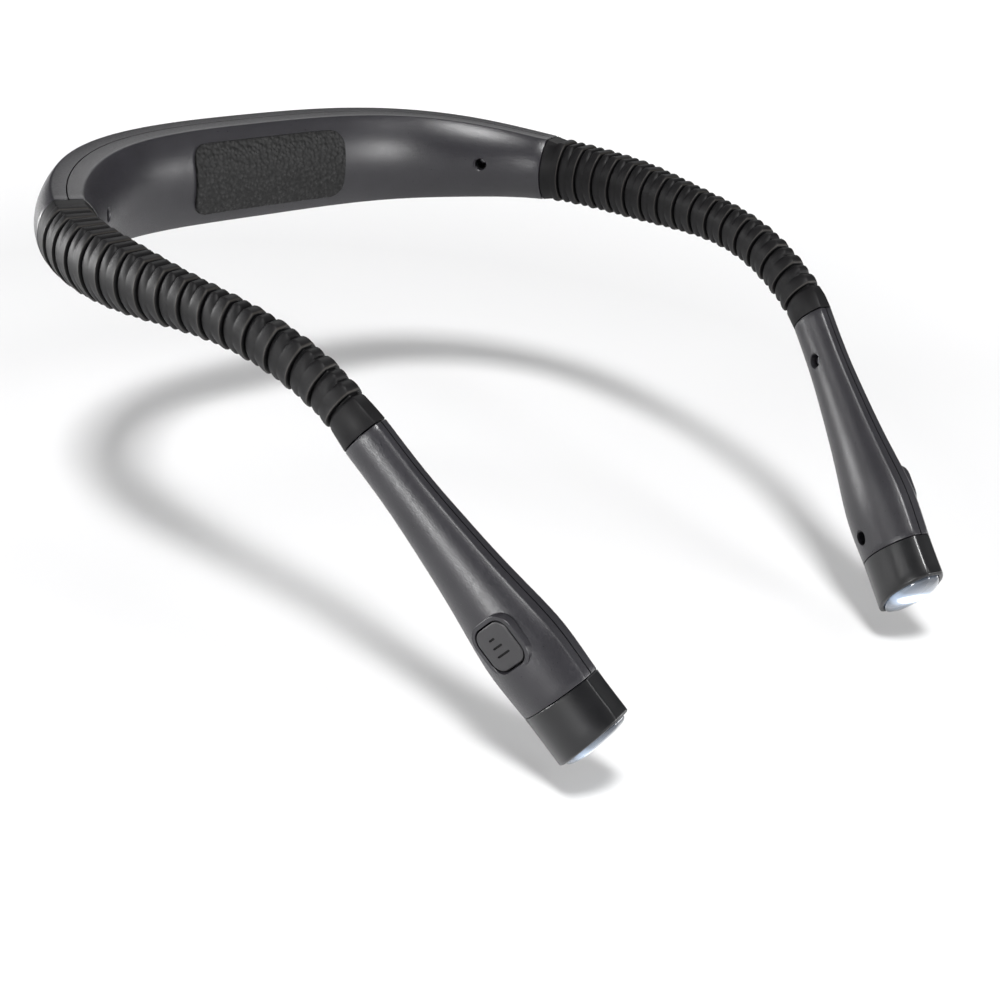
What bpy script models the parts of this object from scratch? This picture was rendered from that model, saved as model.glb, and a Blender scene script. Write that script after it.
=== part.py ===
"""Neck reading light: a curved rear housing, two gooseneck arms in ribbed sleeves and two lamp heads.

The object is built as it is worn: +Z up, light thrown towards -Y, mirrored about X = 0. The origin is
the middle of the nape pad's face. A route runs from the middle of the housing to the right lens, and
every piece takes its place and size from a station on it. Lengths are in metres.
"""

import math
from dataclasses import dataclass, replace

import bmesh
import bpy
import numpy as np
from mathutils import Matrix, Vector

MM = 0.001

# Route of the centre line, from the middle of the housing to the right lens
HALF_SPAN = 79.2 * MM
ARM_REACH = 144.1 * MM
ARM_DROP = 14.5 * MM
HEAD_LENGTH = 62.4 * MM
BEZEL_LENGTH = 9.9 * MM
HEAD_DROP_DEG = 41.6
HEAD_TOE_IN_DEG = 18.6
HEAD_ROLL_DEG = 5.3
SPAN_SHARES = (0.0, 0.5924, 0.9606, 0.9996, 0.9422, 0.8952, 0.8768)
REACH_SHARES = (0.0, 0.0484, 0.2754, 0.6219, 0.8281, 0.9524, 1.0)
DROP_SHARES = (0.0, 0.0, 0.0, 0.0, 0.1662, 0.6545, 1.0)
HOUSING_KEY_COUNT = 2
ROUTE_STEPS = 40

# Section of the body: two bulged faces between narrow flat strips at the top and the bottom
HOUSING_HEIGHT = 25.8 * MM
SLEEVE_REAR_HEIGHT = 17.4 * MM
SLEEVE_FRONT_HEIGHT = 11.5 * MM
HEAD_HEIGHT = 19.7 * MM
HOUSING_STRIP = 11.0 * MM
SLEEVE_REAR_STRIP = 6.9 * MM
SLEEVE_FRONT_STRIP = 2.9 * MM
HEAD_STRIP = 4.0 * MM
HOUSING_BULGE_SHARE = 0.30
ARM_BULGE_SHARE = 0.46
HOUSING_TAPER_SHARES = ((0.0, 0.0), (0.45, 0.14), (0.75, 0.52), (1.0, 1.0))
SLEEVE_TAPER_SHARES = ((0.0, 0.0), (0.30, 0.35), (0.55, 0.92), (0.80, 1.0), (1.0, 1.0))
HEAD_FLARE_SHARES = ((0.0, 0.0), (0.24, 0.06), (0.39, 0.25), (0.55, 0.51), (0.70, 0.85), (0.82, 1.07), (1.0, 1.0))
FACE_POINTS = 9

# Shells
SHELL_WALL = 1.5 * MM
END_WALL = 2.0 * MM
PART_GAP = 0.3 * MM
EDGE_EASE = 0.5 * MM
HOUSING_STATIONS = 21
HEAD_STATIONS = 11

# Nape pad
PAD_LENGTH = 50.6 * MM
PAD_HEIGHT = 18.4 * MM
PAD_THICKNESS = 1.4 * MM
PAD_CORNER = 4.0 * MM
PAD_CORNER_SHARES = (1.0, 0.62, 0.3, 0.0)
PAD_STATIONS = 13
PAD_ROWS = 6

# Battery, charge board and charging socket
CELL_LENGTH = 42.0 * MM
CELL_HEIGHT = 17.0 * MM
CELL_THICKNESS = 5.5 * MM
CELL_CORNER = 1.2 * MM
BOARD_LENGTH = 20.0 * MM
BOARD_HEIGHT = 15.0 * MM
BOARD_THICKNESS = 1.2 * MM
BOARD_STATION = 44.0 * MM
SOCKET_WIDTH = 9.0 * MM
SOCKET_THICKNESS = 3.2 * MM
SOCKET_DEPTH = 7.4 * MM
SOCKET_WALL = 0.35 * MM
SOCKET_MOUTH_DEPTH = 5.6 * MM
SOCKET_RECESS = 0.4 * MM

# Ribbed sleeve
RIB_COUNT = 17
RIB_GROOVE_DEPTH = 0.9 * MM
RIB_FLARE = 0.3 * MM
RIB_PROFILE_SHARES = ((0.0, 1.0), (0.12, 1.0), (0.18, 0.45), (0.96, 0.0))
SLEEVE_WAIST = 0.25 * MM

# Gooseneck spine and its ferrules
SPINE_RADIUS = 1.6 * MM
SPINE_BORE_RADIUS = 0.9 * MM
SPINE_SIDES = 10
SPINE_STATIONS = 22
BORE_STATIONS = 11
SLEEVE_BORE_CLEARANCE = 0.35 * MM
FERRULE_WALL = 0.5 * MM
FERRULE_INSIDE = 6.0 * MM
FERRULE_IN_SLEEVE = 3.0 * MM
FERRULE_FLANGE_WALL = 0.6 * MM
FERRULE_FLANGE_LENGTH = 1.2 * MM

# Screws that close the shells
SCREW_SHANK_RADIUS = 0.7 * MM
SCREW_HEAD_RADIUS = 1.2 * MM
SCREW_HEAD_HEIGHT = 1.0 * MM
SCREW_SOCKET_RADIUS = 0.5 * MM
SCREW_SOCKET_DEPTH = 0.6 * MM
SCREW_CLEARANCE = 0.15 * MM
SCREW_SEAT = 1.5 * MM
POST_WALL = 0.75 * MM
SCREW_SIDES = 12
HOUSING_SCREW_SHARE = 0.785
NECK_SCREW_SHARE = 0.185
NOSE_SCREW_SETBACK = 5.0 * MM
NOSE_SCREW_DROP = 3.2 * MM

# Bezel, lens, reflector and light source
BEZEL_WALL = 1.3 * MM
BEZEL_SKIRT = 1.5 * MM
BEZEL_STATIONS = 4
LENS_RIM = 1.2 * MM
LENS_DOME = 1.2 * MM
LENS_RECESS = 0.5 * MM
REFLECTOR_WALL = 0.5 * MM
REFLECTOR_THROAT_RADIUS = 1.9 * MM
LED_BOARD_THICKNESS = 0.8 * MM
LED_SIDE = 2.4 * MM
LED_HEIGHT = 0.7 * MM

# Push button, its boss and its switch
BUTTON_SHARE = 0.77
BUTTON_LEAN_DEG = 2.0
BUTTON_RISE = 0.9 * MM
BUTTON_SINK = 0.4 * MM
BUTTON_SIDE = 9.2 * MM
BUTTON_CORNER = 2.6 * MM
BUTTON_TRAVEL = 0.5 * MM
BUTTON_PROUD = 0.1 * MM
BUTTON_FLANGE = 0.5 * MM
BUTTON_FLANGE_THICKNESS = 0.7 * MM
BUTTON_SKIRT = 3.2 * MM
BOSS_WIDTH = 0.95 * MM
SWITCH_SIDE = 4.4 * MM
SWITCH_HEIGHT = 1.2 * MM
PLUNGER_RADIUS = 1.0 * MM
PLUNGER_HEIGHT = 0.3 * MM
SWITCH_BOARD_LENGTH = 10.0 * MM
SWITCH_BOARD_WIDTH = 7.6 * MM
SWITCH_BOARD_THICKNESS = 1.0 * MM

# Clearances
SEAT_GAP = 0.3 * MM
OVERRUN = 2.0 * MM

# Bends of the arm, as shares of the sleeve's length
SWING_SHARE = 0.27
TILT_SHARE = 0.75

RIGHT = 1
LEFT = -1
SIDE_NAMES = {RIGHT: "right", LEFT: "left"}
SHARP_ANGLE = math.radians(32)


@dataclass(frozen=True)
class Station:
    """A place on the route: its point, its three directions and the size of the section there."""

    point: Vector
    along: Vector
    up: Vector
    out: Vector
    half_height: float
    half_strip: float
    half_depth: float

    def at(self, ahead=0.0, out=0.0, up=0.0):
        return self.point + self.along * ahead + self.out * out + self.up * up

    def matrix(self, ahead=0.0, out=0.0, up=0.0):
        """Local X runs along the route, Y outwards and Z up."""
        axes = Matrix((self.along, self.out, self.up)).transposed().to_4x4()
        return Matrix.Translation(self.at(ahead, out, up)) @ axes


def solve_slopes(knots, values, first_slope, last_slope):
    """Slopes at the knots of the cubic spline whose end slopes are given."""
    count = len(knots)
    gaps = np.diff(knots)
    rises = np.diff(values, axis=0) / gaps[:, None]
    system = np.zeros((count, count))
    target = np.zeros_like(values)
    system[0, 0] = system[-1, -1] = 1
    target[0], target[-1] = first_slope, last_slope
    for i in range(1, count - 1):
        before, after = gaps[i - 1], gaps[i]
        system[i, i - 1 : i + 2] = after, 2 * (before + after), before
        target[i] = 3 * (after * rises[i - 1] + before * rises[i])
    return np.linalg.solve(system, target)


def sample_spline(knots, values, slopes, places):
    """Points of the cubic spline at the places asked for."""
    places = np.asarray(places, dtype=float)
    piece = np.clip(np.searchsorted(knots, places, side="right") - 1, 0, len(knots) - 2)
    gap = knots[piece + 1] - knots[piece]
    t = ((places - knots[piece]) / gap)[:, None]
    gap = gap[:, None]
    start = values[piece] * (1 + 2 * t) * (1 - t) ** 2 + slopes[piece] * gap * t * (1 - t) ** 2
    end = values[piece + 1] * t**2 * (3 - 2 * t) + slopes[piece + 1] * gap * t**2 * (t - 1)
    return start + end


class Route:
    """The right half of the centre line, measured by the distance from the middle of the housing."""

    def __init__(self):
        drop, toe_in = math.radians(HEAD_DROP_DEG), math.radians(HEAD_TOE_IN_DEG)
        level = math.cos(drop)
        self.head_way = np.array((-level * math.sin(toe_in), -level * math.cos(toe_in), -math.sin(drop)))
        sizes = np.array((HALF_SPAN, -ARM_REACH, -ARM_DROP))
        keys = np.array(list(zip(SPAN_SHARES, REACH_SHARES, DROP_SHARES))) * sizes
        knots = np.concatenate(([0], np.cumsum(np.linalg.norm(np.diff(keys, axis=0), axis=1))))
        slopes = solve_slopes(knots, keys, (1, 0, 0), self.head_way)
        steps = [np.linspace(a, b, ROUTE_STEPS, endpoint=False) for a, b in zip(knots, knots[1:])]
        places = np.append(np.concatenate(steps), knots[-1])
        self.points = sample_spline(knots, keys, slopes, places)
        walked = np.linalg.norm(np.diff(self.points, axis=0), axis=1)
        self.lengths = np.concatenate(([0], np.cumsum(walked)))
        self.sleeve_start = float(self.lengths[HOUSING_KEY_COUNT * ROUTE_STEPS])
        self.sleeve_end = float(self.lengths[-1])
        self.bezel_start = self.sleeve_end + HEAD_LENGTH
        self.end = self.bezel_start + BEZEL_LENGTH
        self.sections = self.section_keys()

    def section_keys(self):
        """Half height, half strip and half depth, at places along the route."""
        waypoints = (
            (0.0, HOUSING_HEIGHT, HOUSING_STRIP, HOUSING_BULGE_SHARE),
            (self.sleeve_start, SLEEVE_REAR_HEIGHT, SLEEVE_REAR_STRIP, ARM_BULGE_SHARE),
            (self.sleeve_end, SLEEVE_FRONT_HEIGHT, SLEEVE_FRONT_STRIP, ARM_BULGE_SHARE),
            (self.bezel_start, HEAD_HEIGHT, HEAD_STRIP, ARM_BULGE_SHARE),
        )
        tapers = (HOUSING_TAPER_SHARES, SLEEVE_TAPER_SHARES, HEAD_FLARE_SHARES)
        rows = []
        for (start, *a), (stop, *b), taper in zip(waypoints, waypoints[1:], tapers):
            for place, weight in taper[:-1]:
                height, strip, bulge = (p + (q - p) * weight for p, q in zip(a, b))
                depth = strip + bulge * height
                rows.append((start + (stop - start) * place, height / 2, strip / 2, depth / 2))
        for place in (self.bezel_start, self.end + OVERRUN):
            depth = HEAD_STRIP + ARM_BULGE_SHARE * HEAD_HEIGHT
            rows.append((place, HEAD_HEIGHT / 2, HEAD_STRIP / 2, depth / 2))
        table = np.array(rows)
        flat = np.zeros(3)
        return table[:, 0], table[:, 1:], solve_slopes(table[:, 0], table[:, 1:], flat, flat)

    def point(self, place):
        if place >= self.sleeve_end:
            return self.points[-1] + self.head_way * (place - self.sleeve_end)
        return np.array([np.interp(place, self.lengths, self.points[:, i]) for i in range(3)])

    def roll(self, place):
        share = (place - self.sleeve_start) / (self.sleeve_end - self.sleeve_start)
        return math.radians(HEAD_ROLL_DEG) * min(max(share, 0.0), 1.0)

    def station(self, place):
        """The station at a distance from the middle of the housing; a negative one lies on the left."""
        distance = abs(place)
        reach = self.lengths[1]
        back, front = self.point(max(distance - reach, 0.0)), self.point(distance + reach)
        along = Vector(front - back) if distance > 0 else Vector((1, 0, 0))
        along.normalize()
        up = Vector((0, 0, 1)) - along * along.z
        up.normalize()
        up = Matrix.Rotation(-self.roll(distance), 3, along) @ up
        out = up.cross(along)
        point = Vector(self.point(distance))
        if place < 0:
            point.x, up.x, out.x = -point.x, -up.x, -out.x
            along.y, along.z = -along.y, -along.z
        sizes = sample_spline(*self.sections, [distance])[0]
        return Station(point + self.origin_shift(), along, up, out, *map(float, sizes))

    def origin_shift(self):
        """Puts the origin on the middle of the nape pad's face."""
        middle = HOUSING_STRIP + HOUSING_BULGE_SHARE * HOUSING_HEIGHT
        return Vector((0, middle / 2 + SEAT_GAP + PAD_THICKNESS, 0))

    def sleeve(self, share):
        return self.sleeve_start + (self.sleeve_end - self.sleeve_start) * share

    def head(self, share):
        return self.sleeve_end + HEAD_LENGTH * share


ROUTE = Route()


def face_arc(half_height, half_strip, half_depth, points=FACE_POINTS):
    """The outer face of a section, top to bottom, as (out, up) places on an arc."""
    bulge = half_depth - half_strip
    radius = (half_height**2 + bulge**2) / (2 * bulge)
    spread = math.asin(min(half_height / radius, 1))
    turns = [spread * (1 - 2 * i / (points - 1)) for i in range(points)]
    return [(half_depth - radius + radius * math.cos(t), radius * math.sin(t)) for t in turns]


def outline(station, inset=0.0, points=FACE_POINTS):
    """The whole section as (out, up) places: the outer face, then the inner one."""
    strip = max(station.half_strip - inset / 2, station.half_strip / 2)
    outer = face_arc(station.half_height - inset, strip, station.half_depth - inset, points)
    return outer + [(-out, up) for out, up in reversed(outer)]


def half_outline(station, face, inset=0.0, gap=PART_GAP / 2):
    """One shell's half of the section, closed along the parting line."""
    strip = max(station.half_strip - inset / 2, station.half_strip / 2)
    arc = face_arc(station.half_height - inset, strip, station.half_depth - inset)
    top = (gap, station.half_height - inset)
    bottom = (gap, inset - station.half_height)
    return [(out * face, up) for out, up in [top, *arc, bottom]]


def ring_at(station, places):
    return [station.at(out=out, up=up) for out, up in places]


def spread(start, stop, count):
    return [start + (stop - start) * i / (count - 1) for i in range(count)]


def material(name, colour, roughness, metallic=0.0, glow=0.0, clear=0.0):
    found = bpy.data.materials.new(name)
    found.use_nodes = True
    shader = found.node_tree.nodes["Principled BSDF"]
    shader.inputs["Base Color"].default_value = (*colour, 1)
    shader.inputs["Roughness"].default_value = roughness
    shader.inputs["Metallic"].default_value = metallic
    shader.inputs["Emission Color"].default_value = (*colour, 1)
    shader.inputs["Emission Strength"].default_value = glow
    shader.inputs["Transmission Weight"].default_value = clear
    found.diffuse_color = (*colour, 1)
    return found


def finish(name, bm, look, side=RIGHT, pivot=None):
    """Turns a bmesh into a named object, mirrored for the left side and seated on its pivot."""
    if side == LEFT:
        bmesh.ops.scale(bm, vec=(-1, 1, 1), verts=bm.verts)
    bmesh.ops.recalc_face_normals(bm, faces=bm.faces)
    if pivot:
        bmesh.ops.translate(bm, vec=-pivot_place(pivot), verts=bm.verts)
    mesh = bpy.data.meshes.new(name)
    bm.to_mesh(mesh)
    bm.free()
    mesh.shade_smooth()
    mesh.set_sharp_from_angle(angle=SHARP_ANGLE)
    if look:
        mesh.materials.append(look)
    obj = bpy.data.objects.new(name, mesh)
    obj.parent = pivot
    bpy.context.scene.collection.objects.link(obj)
    return obj


def pivot_place(pivot):
    """Where a pivot stands in the world, through the pivots that carry it."""
    place = Vector()
    while pivot:
        place += pivot.location
        pivot = pivot.parent
    return place


def add_pivot(name, place, side, parent=None):
    pivot = bpy.data.objects.new(name, None)
    world = Vector((place.x * side, place.y, place.z))
    pivot.location = world - pivot_place(parent)
    pivot.parent = parent
    bpy.context.scene.collection.objects.link(pivot)
    return pivot


def tool(name, bm, side=RIGHT):
    """A shape that cuts or joins another piece and isn't one itself."""
    obj = finish(name, bm, None, side)
    obj.hide_render = True
    obj.display_type = "WIRE"
    return obj


def combine(obj, other, operation):
    modifier = obj.modifiers.new(other.name, "BOOLEAN")
    modifier.operation = operation
    modifier.object = other


def cut(obj, *others):
    for other in others:
        combine(obj, other, "DIFFERENCE")


def join(obj, *others):
    for other in others:
        combine(obj, other, "UNION")


def skin(bm, rings):
    """Faces between neighbouring closed rings."""
    for near, far in zip(rings, rings[1:]):
        for i in range(len(near)):
            j = (i + 1) % len(near)
            bm.faces.new((near[i], near[j], far[j], far[i]))


def loft(rings):
    """A closed solid through rings of points, with its two ends filled."""
    bm = bmesh.new()
    made = [[bm.verts.new(point) for point in ring] for ring in rings]
    skin(bm, made)
    bm.faces.new(made[0])
    bm.faces.new(made[-1])
    return bm


def tube_loft(outer, inner):
    """A tube through outer and inner rings, which have as many points each, open at both ends."""
    bm = bmesh.new()
    outside = [[bm.verts.new(point) for point in ring] for ring in outer]
    inside = [[bm.verts.new(point) for point in ring] for ring in inner]
    skin(bm, outside)
    skin(bm, inside)
    skin(bm, [outside[0], inside[0]])
    skin(bm, [outside[-1], inside[-1]])
    return bm


def circle(radius, sides=SCREW_SIDES):
    turns = [2 * math.pi * (i + 0.5) / sides for i in range(sides)]
    return [(radius * math.sin(t), radius * math.cos(t)) for t in turns]


def turned(station, profile, sides=SCREW_SIDES):
    """A piece turned about the route, from (ahead, radius) places."""
    rings = []
    for ahead, radius in profile:
        rings.append([station.at(ahead, out, up) for out, up in circle(radius, sides)])
    return loft(rings)


def turned_across(station, profile, up=0.0, sides=SCREW_SIDES):
    """A piece turned about the outward direction, from (out, radius) places."""
    rings = []
    for out, radius in profile:
        rings.append([station.at(a, out, up + b) for a, b in circle(radius, sides)])
    return loft(rings)


def block(station, length, depth, height, ahead=0.0, out=0.0, up=0.0, corner=0.0):
    """A box on the station's axes, with its edges eased where a corner radius is given."""
    bm = bmesh.new()
    place = station.matrix(ahead, out, up) @ Matrix.Diagonal((length, depth, height, 1))
    bmesh.ops.create_cube(bm, size=1, matrix=place)
    if corner:
        bmesh.ops.bevel(bm, geom=bm.edges, offset=corner, segments=2, affect="EDGES", profile=0.5)
    return bm


def rounded_square(side, corner, points=4):
    """A square with round corners, as (ahead, up) places."""
    places = []
    straight = side / 2 - corner
    for quarter, (x, y) in enumerate(((1, 1), (-1, 1), (-1, -1), (1, -1))):
        for i in range(points):
            turn = math.pi / 2 * (quarter + i / (points - 1))
            places.append((x * straight + corner * math.cos(turn), y * straight + corner * math.sin(turn)))
    return places


def square_prism(station, steps):
    """A rounded square run outwards, from (out, side, corner) steps."""
    rings = []
    for out, side, corner in steps:
        rings.append([station.at(a, out, b) for a, b in rounded_square(side, corner)])
    return loft(rings)


# Rear housing


def shell_half(face, places, look, name, side=RIGHT, pivot=None):
    """One half of a housing, solid, its parting edge on the strip's middle."""
    rings = [ring_at(ROUTE.station(s), half_outline(ROUTE.station(s), face)) for s in places]
    return finish(name, loft(rings), look, side, pivot)


def cavity(places, name, side=RIGHT):
    rings = [ring_at(ROUTE.station(s), outline(ROUTE.station(s), SHELL_WALL)) for s in places]
    return tool(name, loft(rings), side)


def ferrule_hole(place, towards, name, side):
    """The hole in an end wall for the ferrule's barrel, and the pocket behind it for its flange."""
    hole = SPINE_RADIUS + SEAT_GAP + FERRULE_WALL + SEAT_GAP
    pocket = hole + FERRULE_FLANGE_WALL
    tail = END_WALL + SEAT_GAP + FERRULE_INSIDE
    rings = []
    step = END_WALL + SEAT_GAP / 2
    for ahead, radius in ((-OVERRUN, hole), (step, hole), (step, pocket), (tail, pocket)):
        station = ROUTE.station(place + ahead * towards)
        rings.append(ring_at(station, circle(radius, SPINE_SIDES)))
    return tool(name, loft(rings), side)


def screw_station(place):
    station = ROUTE.station(place)
    tip = station.half_depth - SHELL_WALL - EDGE_EASE
    return station, tip


def screw_tools(place, drop, name, side):
    """Post, counterbore and pilot hole of one screw, for the inner and the outer shell."""
    station, tip = screw_station(place)
    bore = SCREW_SHANK_RADIUS + SCREW_CLEARANCE
    well = SCREW_HEAD_RADIUS + SCREW_CLEARANCE
    post = well + POST_WALL
    root = station.half_depth - SHELL_WALL / 2
    inner_post = turned_across(station, ((-root, post), (-PART_GAP / 2, post)), -drop)
    counterbore = turned_across(station, ((-SCREW_SEAT, well), (-station.half_depth - OVERRUN, well)), -drop)
    passage = turned_across(station, ((-root, bore), (OVERRUN, bore)), -drop)
    outer_post = turned_across(station, ((PART_GAP / 2, post), (root, post)), -drop)
    pilot = turned_across(station, ((-OVERRUN, bore), (tip + SCREW_CLEARANCE, bore)), -drop)
    return {
        "inner_post": tool(f"{name}_inner_post_tool", inner_post, side),
        "counterbore": tool(f"{name}_counterbore_tool", counterbore, side),
        "passage": tool(f"{name}_passage_tool", passage, side),
        "outer_post": tool(f"{name}_outer_post_tool", outer_post, side),
        "pilot": tool(f"{name}_pilot_tool", pilot, side),
    }


def fit_screw_tools(outer, inner, tools):
    join(outer, tools["outer_post"])
    cut(outer, tools["pilot"])
    join(inner, tools["inner_post"])
    cut(inner, tools["counterbore"], tools["passage"])


def add_screw(name, place, drop, look, side, pivot=None):
    """A pan head screw with a round drive socket, its head on the inner shell's seat."""
    station, tip = screw_station(place)
    seat = -SCREW_SEAT - SCREW_CLEARANCE / 2
    top = seat - SCREW_HEAD_HEIGHT
    profile = (
        (tip, SCREW_SHANK_RADIUS / 2),
        (tip - SCREW_SHANK_RADIUS, SCREW_SHANK_RADIUS),
        (seat, SCREW_SHANK_RADIUS),
        (seat, SCREW_HEAD_RADIUS),
        (seat - SCREW_HEAD_HEIGHT / 2, SCREW_HEAD_RADIUS),
        (top, SCREW_HEAD_RADIUS * 0.7),
        (top, SCREW_SOCKET_RADIUS),
        (top + SCREW_SOCKET_DEPTH, SCREW_SOCKET_RADIUS),
    )
    return finish(name, turned_across(station, profile, -drop), look, side, pivot)


def add_housing(looks):
    """The two shells of the rear housing, with posts, cavity, end holes and the socket's slot."""
    stop = ROUTE.sleeve_start
    places = spread(-stop, stop, HOUSING_STATIONS)
    hollow = cavity(spread(END_WALL - stop, stop - END_WALL, HOUSING_STATIONS), "housing_cavity_tool")
    outer = shell_half(1, places, looks["shell"], "housing_outer_shell")
    inner = shell_half(-1, places, looks["shell"], "housing_inner_shell")
    cut(outer, hollow)
    cut(inner, hollow)
    screw_place = stop * HOUSING_SCREW_SHARE
    for side, word in SIDE_NAMES.items():
        fit_screw_tools(outer, inner, screw_tools(screw_place, 0.0, f"{word}_housing_screw", side))
        hole = ferrule_hole(stop, -1, f"{word}_housing_end_tool", side)
        cut(outer, hole)
        cut(inner, hole)
        add_screw(f"{word}_housing_screw", screw_place, 0.0, looks["steel"], side)
    slot = tool("socket_slot_tool", socket_block(SEAT_GAP, SHELL_WALL + OVERRUN))
    cut(outer, slot)
    cut(inner, slot)


def pad_row(station, rise, share):
    """One row of pad points, from its back face to its front face, at a height on the inner face."""
    back = -(station.half_depth - pad_fall(station, rise)) - SEAT_GAP
    return back, back - PAD_THICKNESS * share


def pad_fall(station, rise):
    """How far the bulged face lies behind its crown at a height on it."""
    bulge = station.half_depth - station.half_strip
    radius = (station.half_height**2 + bulge**2) / (2 * bulge)
    return radius - math.sqrt(radius**2 - rise**2)


def add_pad(look):
    """The nape pad: a thin sheet bent to the inner face, with round corners and a square front facet."""
    reach = PAD_LENGTH / 2
    middle = PAD_LENGTH / (PAD_STATIONS - 1) / 2
    turns = [i / PAD_STATIONS for i in range(1, PAD_STATIONS)]
    corner = [reach - PAD_CORNER * (1 - math.sin(math.pi / 2 * t)) for t in PAD_CORNER_SHARES]
    inner = [middle + (reach - PAD_CORNER - middle) * t for t in turns[::3]]
    right = sorted(set([middle, *inner, *corner]))
    rings = []
    for place in [-s for s in reversed(right)] + right:
        station = ROUTE.station(place)
        into = max(abs(place) - (reach - PAD_CORNER), 0.0)
        trim = PAD_CORNER - math.sqrt(max(PAD_CORNER**2 - into**2, 0.0))
        half = PAD_HEIGHT / 2 - trim
        rises = spread(half, -half, PAD_ROWS)
        backs = [pad_row(station, rise, 1)[0] for rise in rises]
        fronts = [pad_row(station, rise, 1)[1] for rise in rises]
        loop = list(zip(backs, rises)) + list(reversed(list(zip(fronts, rises))))
        rings.append(ring_at(station, loop))
    return finish("nape_pad", loft(rings), look)


def add_cell(look):
    """The cell, which lies against the inner shell's wall along its top and bottom edges."""
    station = ROUTE.station(0.0)
    room = outline(station, SHELL_WALL)[:FACE_POINTS]
    flat = CELL_HEIGHT / 2 - CELL_CORNER
    wall = np.interp(-flat, [-up for out, up in room], [out for out, up in room])
    middle = CELL_THICKNESS / 2 + SEAT_GAP - wall
    cell = block(station, CELL_LENGTH, CELL_THICKNESS, CELL_HEIGHT, out=middle, corner=CELL_CORNER)
    return finish("battery_cell", cell, look)


def socket_station():
    return ROUTE.station(BOARD_STATION)


def socket_block(margin, below):
    """The socket's outside, grown by a margin and run down through the housing's bottom strip."""
    station = socket_station()
    top = SOCKET_RECESS + SOCKET_DEPTH + margin - station.half_height
    height = SOCKET_DEPTH + margin + SOCKET_RECESS + below
    corner = SOCKET_THICKNESS / 3
    length, depth = SOCKET_WIDTH + 2 * margin, SOCKET_THICKNESS + 2 * margin
    places = [(x, y) for x, y in rounded_slot(length, depth, corner + margin)]
    rings = [[station.at(a, b, rise) for a, b in places] for rise in (top - height, top)]
    return loft(rings)


def rounded_slot(length, depth, corner, points=3):
    """A slot's outline with round corners, as (ahead, out) places."""
    places = []
    for quarter, (x, y) in enumerate(((1, 1), (-1, 1), (-1, -1), (1, -1))):
        for i in range(points):
            turn = math.pi / 2 * (quarter + i / (points - 1))
            ahead = x * (length / 2 - corner) + corner * math.cos(turn)
            places.append((ahead, y * (depth / 2 - corner) + corner * math.sin(turn)))
    return places


def add_socket(look):
    """The charging socket: an oblong can, open downwards, with its tongue inside."""
    station = socket_station()
    low = SOCKET_RECESS - station.half_height
    high = low + SOCKET_DEPTH
    corner = SOCKET_THICKNESS / 3
    outer = rounded_slot(SOCKET_WIDTH, SOCKET_THICKNESS, corner)
    inner = rounded_slot(
        SOCKET_WIDTH - 2 * SOCKET_WALL, SOCKET_THICKNESS - 2 * SOCKET_WALL, corner - SOCKET_WALL
    )
    floor = low + SOCKET_MOUTH_DEPTH
    rings = [[station.at(a, b, high) for a, b in outer], [station.at(a, b, low) for a, b in outer]]
    rings += [[station.at(a, b, low) for a, b in inner], [station.at(a, b, floor) for a, b in inner]]
    tongue_width = SOCKET_WIDTH * 0.7
    tongue = [(a, b) for a, b in rounded_slot(tongue_width, SOCKET_WALL * 2, SOCKET_WALL / 2)]
    rings += [[station.at(a, b, floor) for a, b in tongue]]
    rings += [[station.at(a, b, low + SOCKET_WALL * 2) for a, b in tongue]]
    return finish("usb_socket", loft(rings), look)


def add_charge_board(look):
    station = socket_station()
    out = SOCKET_THICKNESS / 2 + SEAT_GAP + BOARD_THICKNESS / 2
    low = SOCKET_RECESS + SHELL_WALL + SEAT_GAP - station.half_height
    up = low + BOARD_HEIGHT / 2
    board = block(station, BOARD_LENGTH, BOARD_THICKNESS, BOARD_HEIGHT, out=out, up=up)
    return finish("charge_board", board, look)


# Arms


def sleeve_ring(place, sink):
    station = ROUTE.station(place)
    return ring_at(station, outline(station, SLEEVE_WAIST + sink))


def sleeve_rings():
    """Rings of the ribbed skin: each rib rises from its groove, flares forward and ends in a step."""
    start = ROUTE.sleeve_start + SEAT_GAP
    stop = ROUTE.sleeve_end - SEAT_GAP
    pitch = (stop - start) / RIB_COUNT
    rings = [sleeve_ring(start, 0.0)]
    for rib in range(RIB_COUNT):
        for share, depth_share in RIB_PROFILE_SHARES:
            if rib or depth_share < 1:
                rings.append(sleeve_ring(start + pitch * (rib + share), RIB_GROOVE_DEPTH * depth_share - RIB_FLARE))
    rings.append(sleeve_ring(stop, 0.0))
    return rings


def bore_rings():
    """Rings of the sleeve's bore, wider at both ends, where the ferrules reach in."""
    narrow = SPINE_RADIUS + SLEEVE_BORE_CLEARANCE
    wide = SPINE_RADIUS + FERRULE_WALL + 2 * SEAT_GAP
    start, stop = ROUTE.sleeve_start + SEAT_GAP, ROUTE.sleeve_end - SEAT_GAP
    seat = FERRULE_IN_SLEEVE + SEAT_GAP
    middle = spread(start + seat, stop - seat, BORE_STATIONS)
    steps = [(start, wide), (start + seat, wide)]
    steps += [(place, narrow) for place in middle]
    steps += [(stop - seat, wide), (stop, wide)]
    rings = []
    for place, radius in steps:
        station = ROUTE.station(place)
        rings.append(ring_at(station, bore_circle(radius)))
    return rings


def bore_circle(radius):
    """A circle with as many points as a whole section, in the same order."""
    count = 2 * FACE_POINTS
    turns = [math.pi * (0.5 - (i + 0.5) / FACE_POINTS) for i in range(count)]
    return [(radius * math.cos(t), radius * math.sin(t)) for t in turns]


def add_sleeve(word, side, pivot, look):
    return finish(f"{word}_sleeve", tube_loft(sleeve_rings(), bore_rings()), look, side, pivot)


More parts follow.
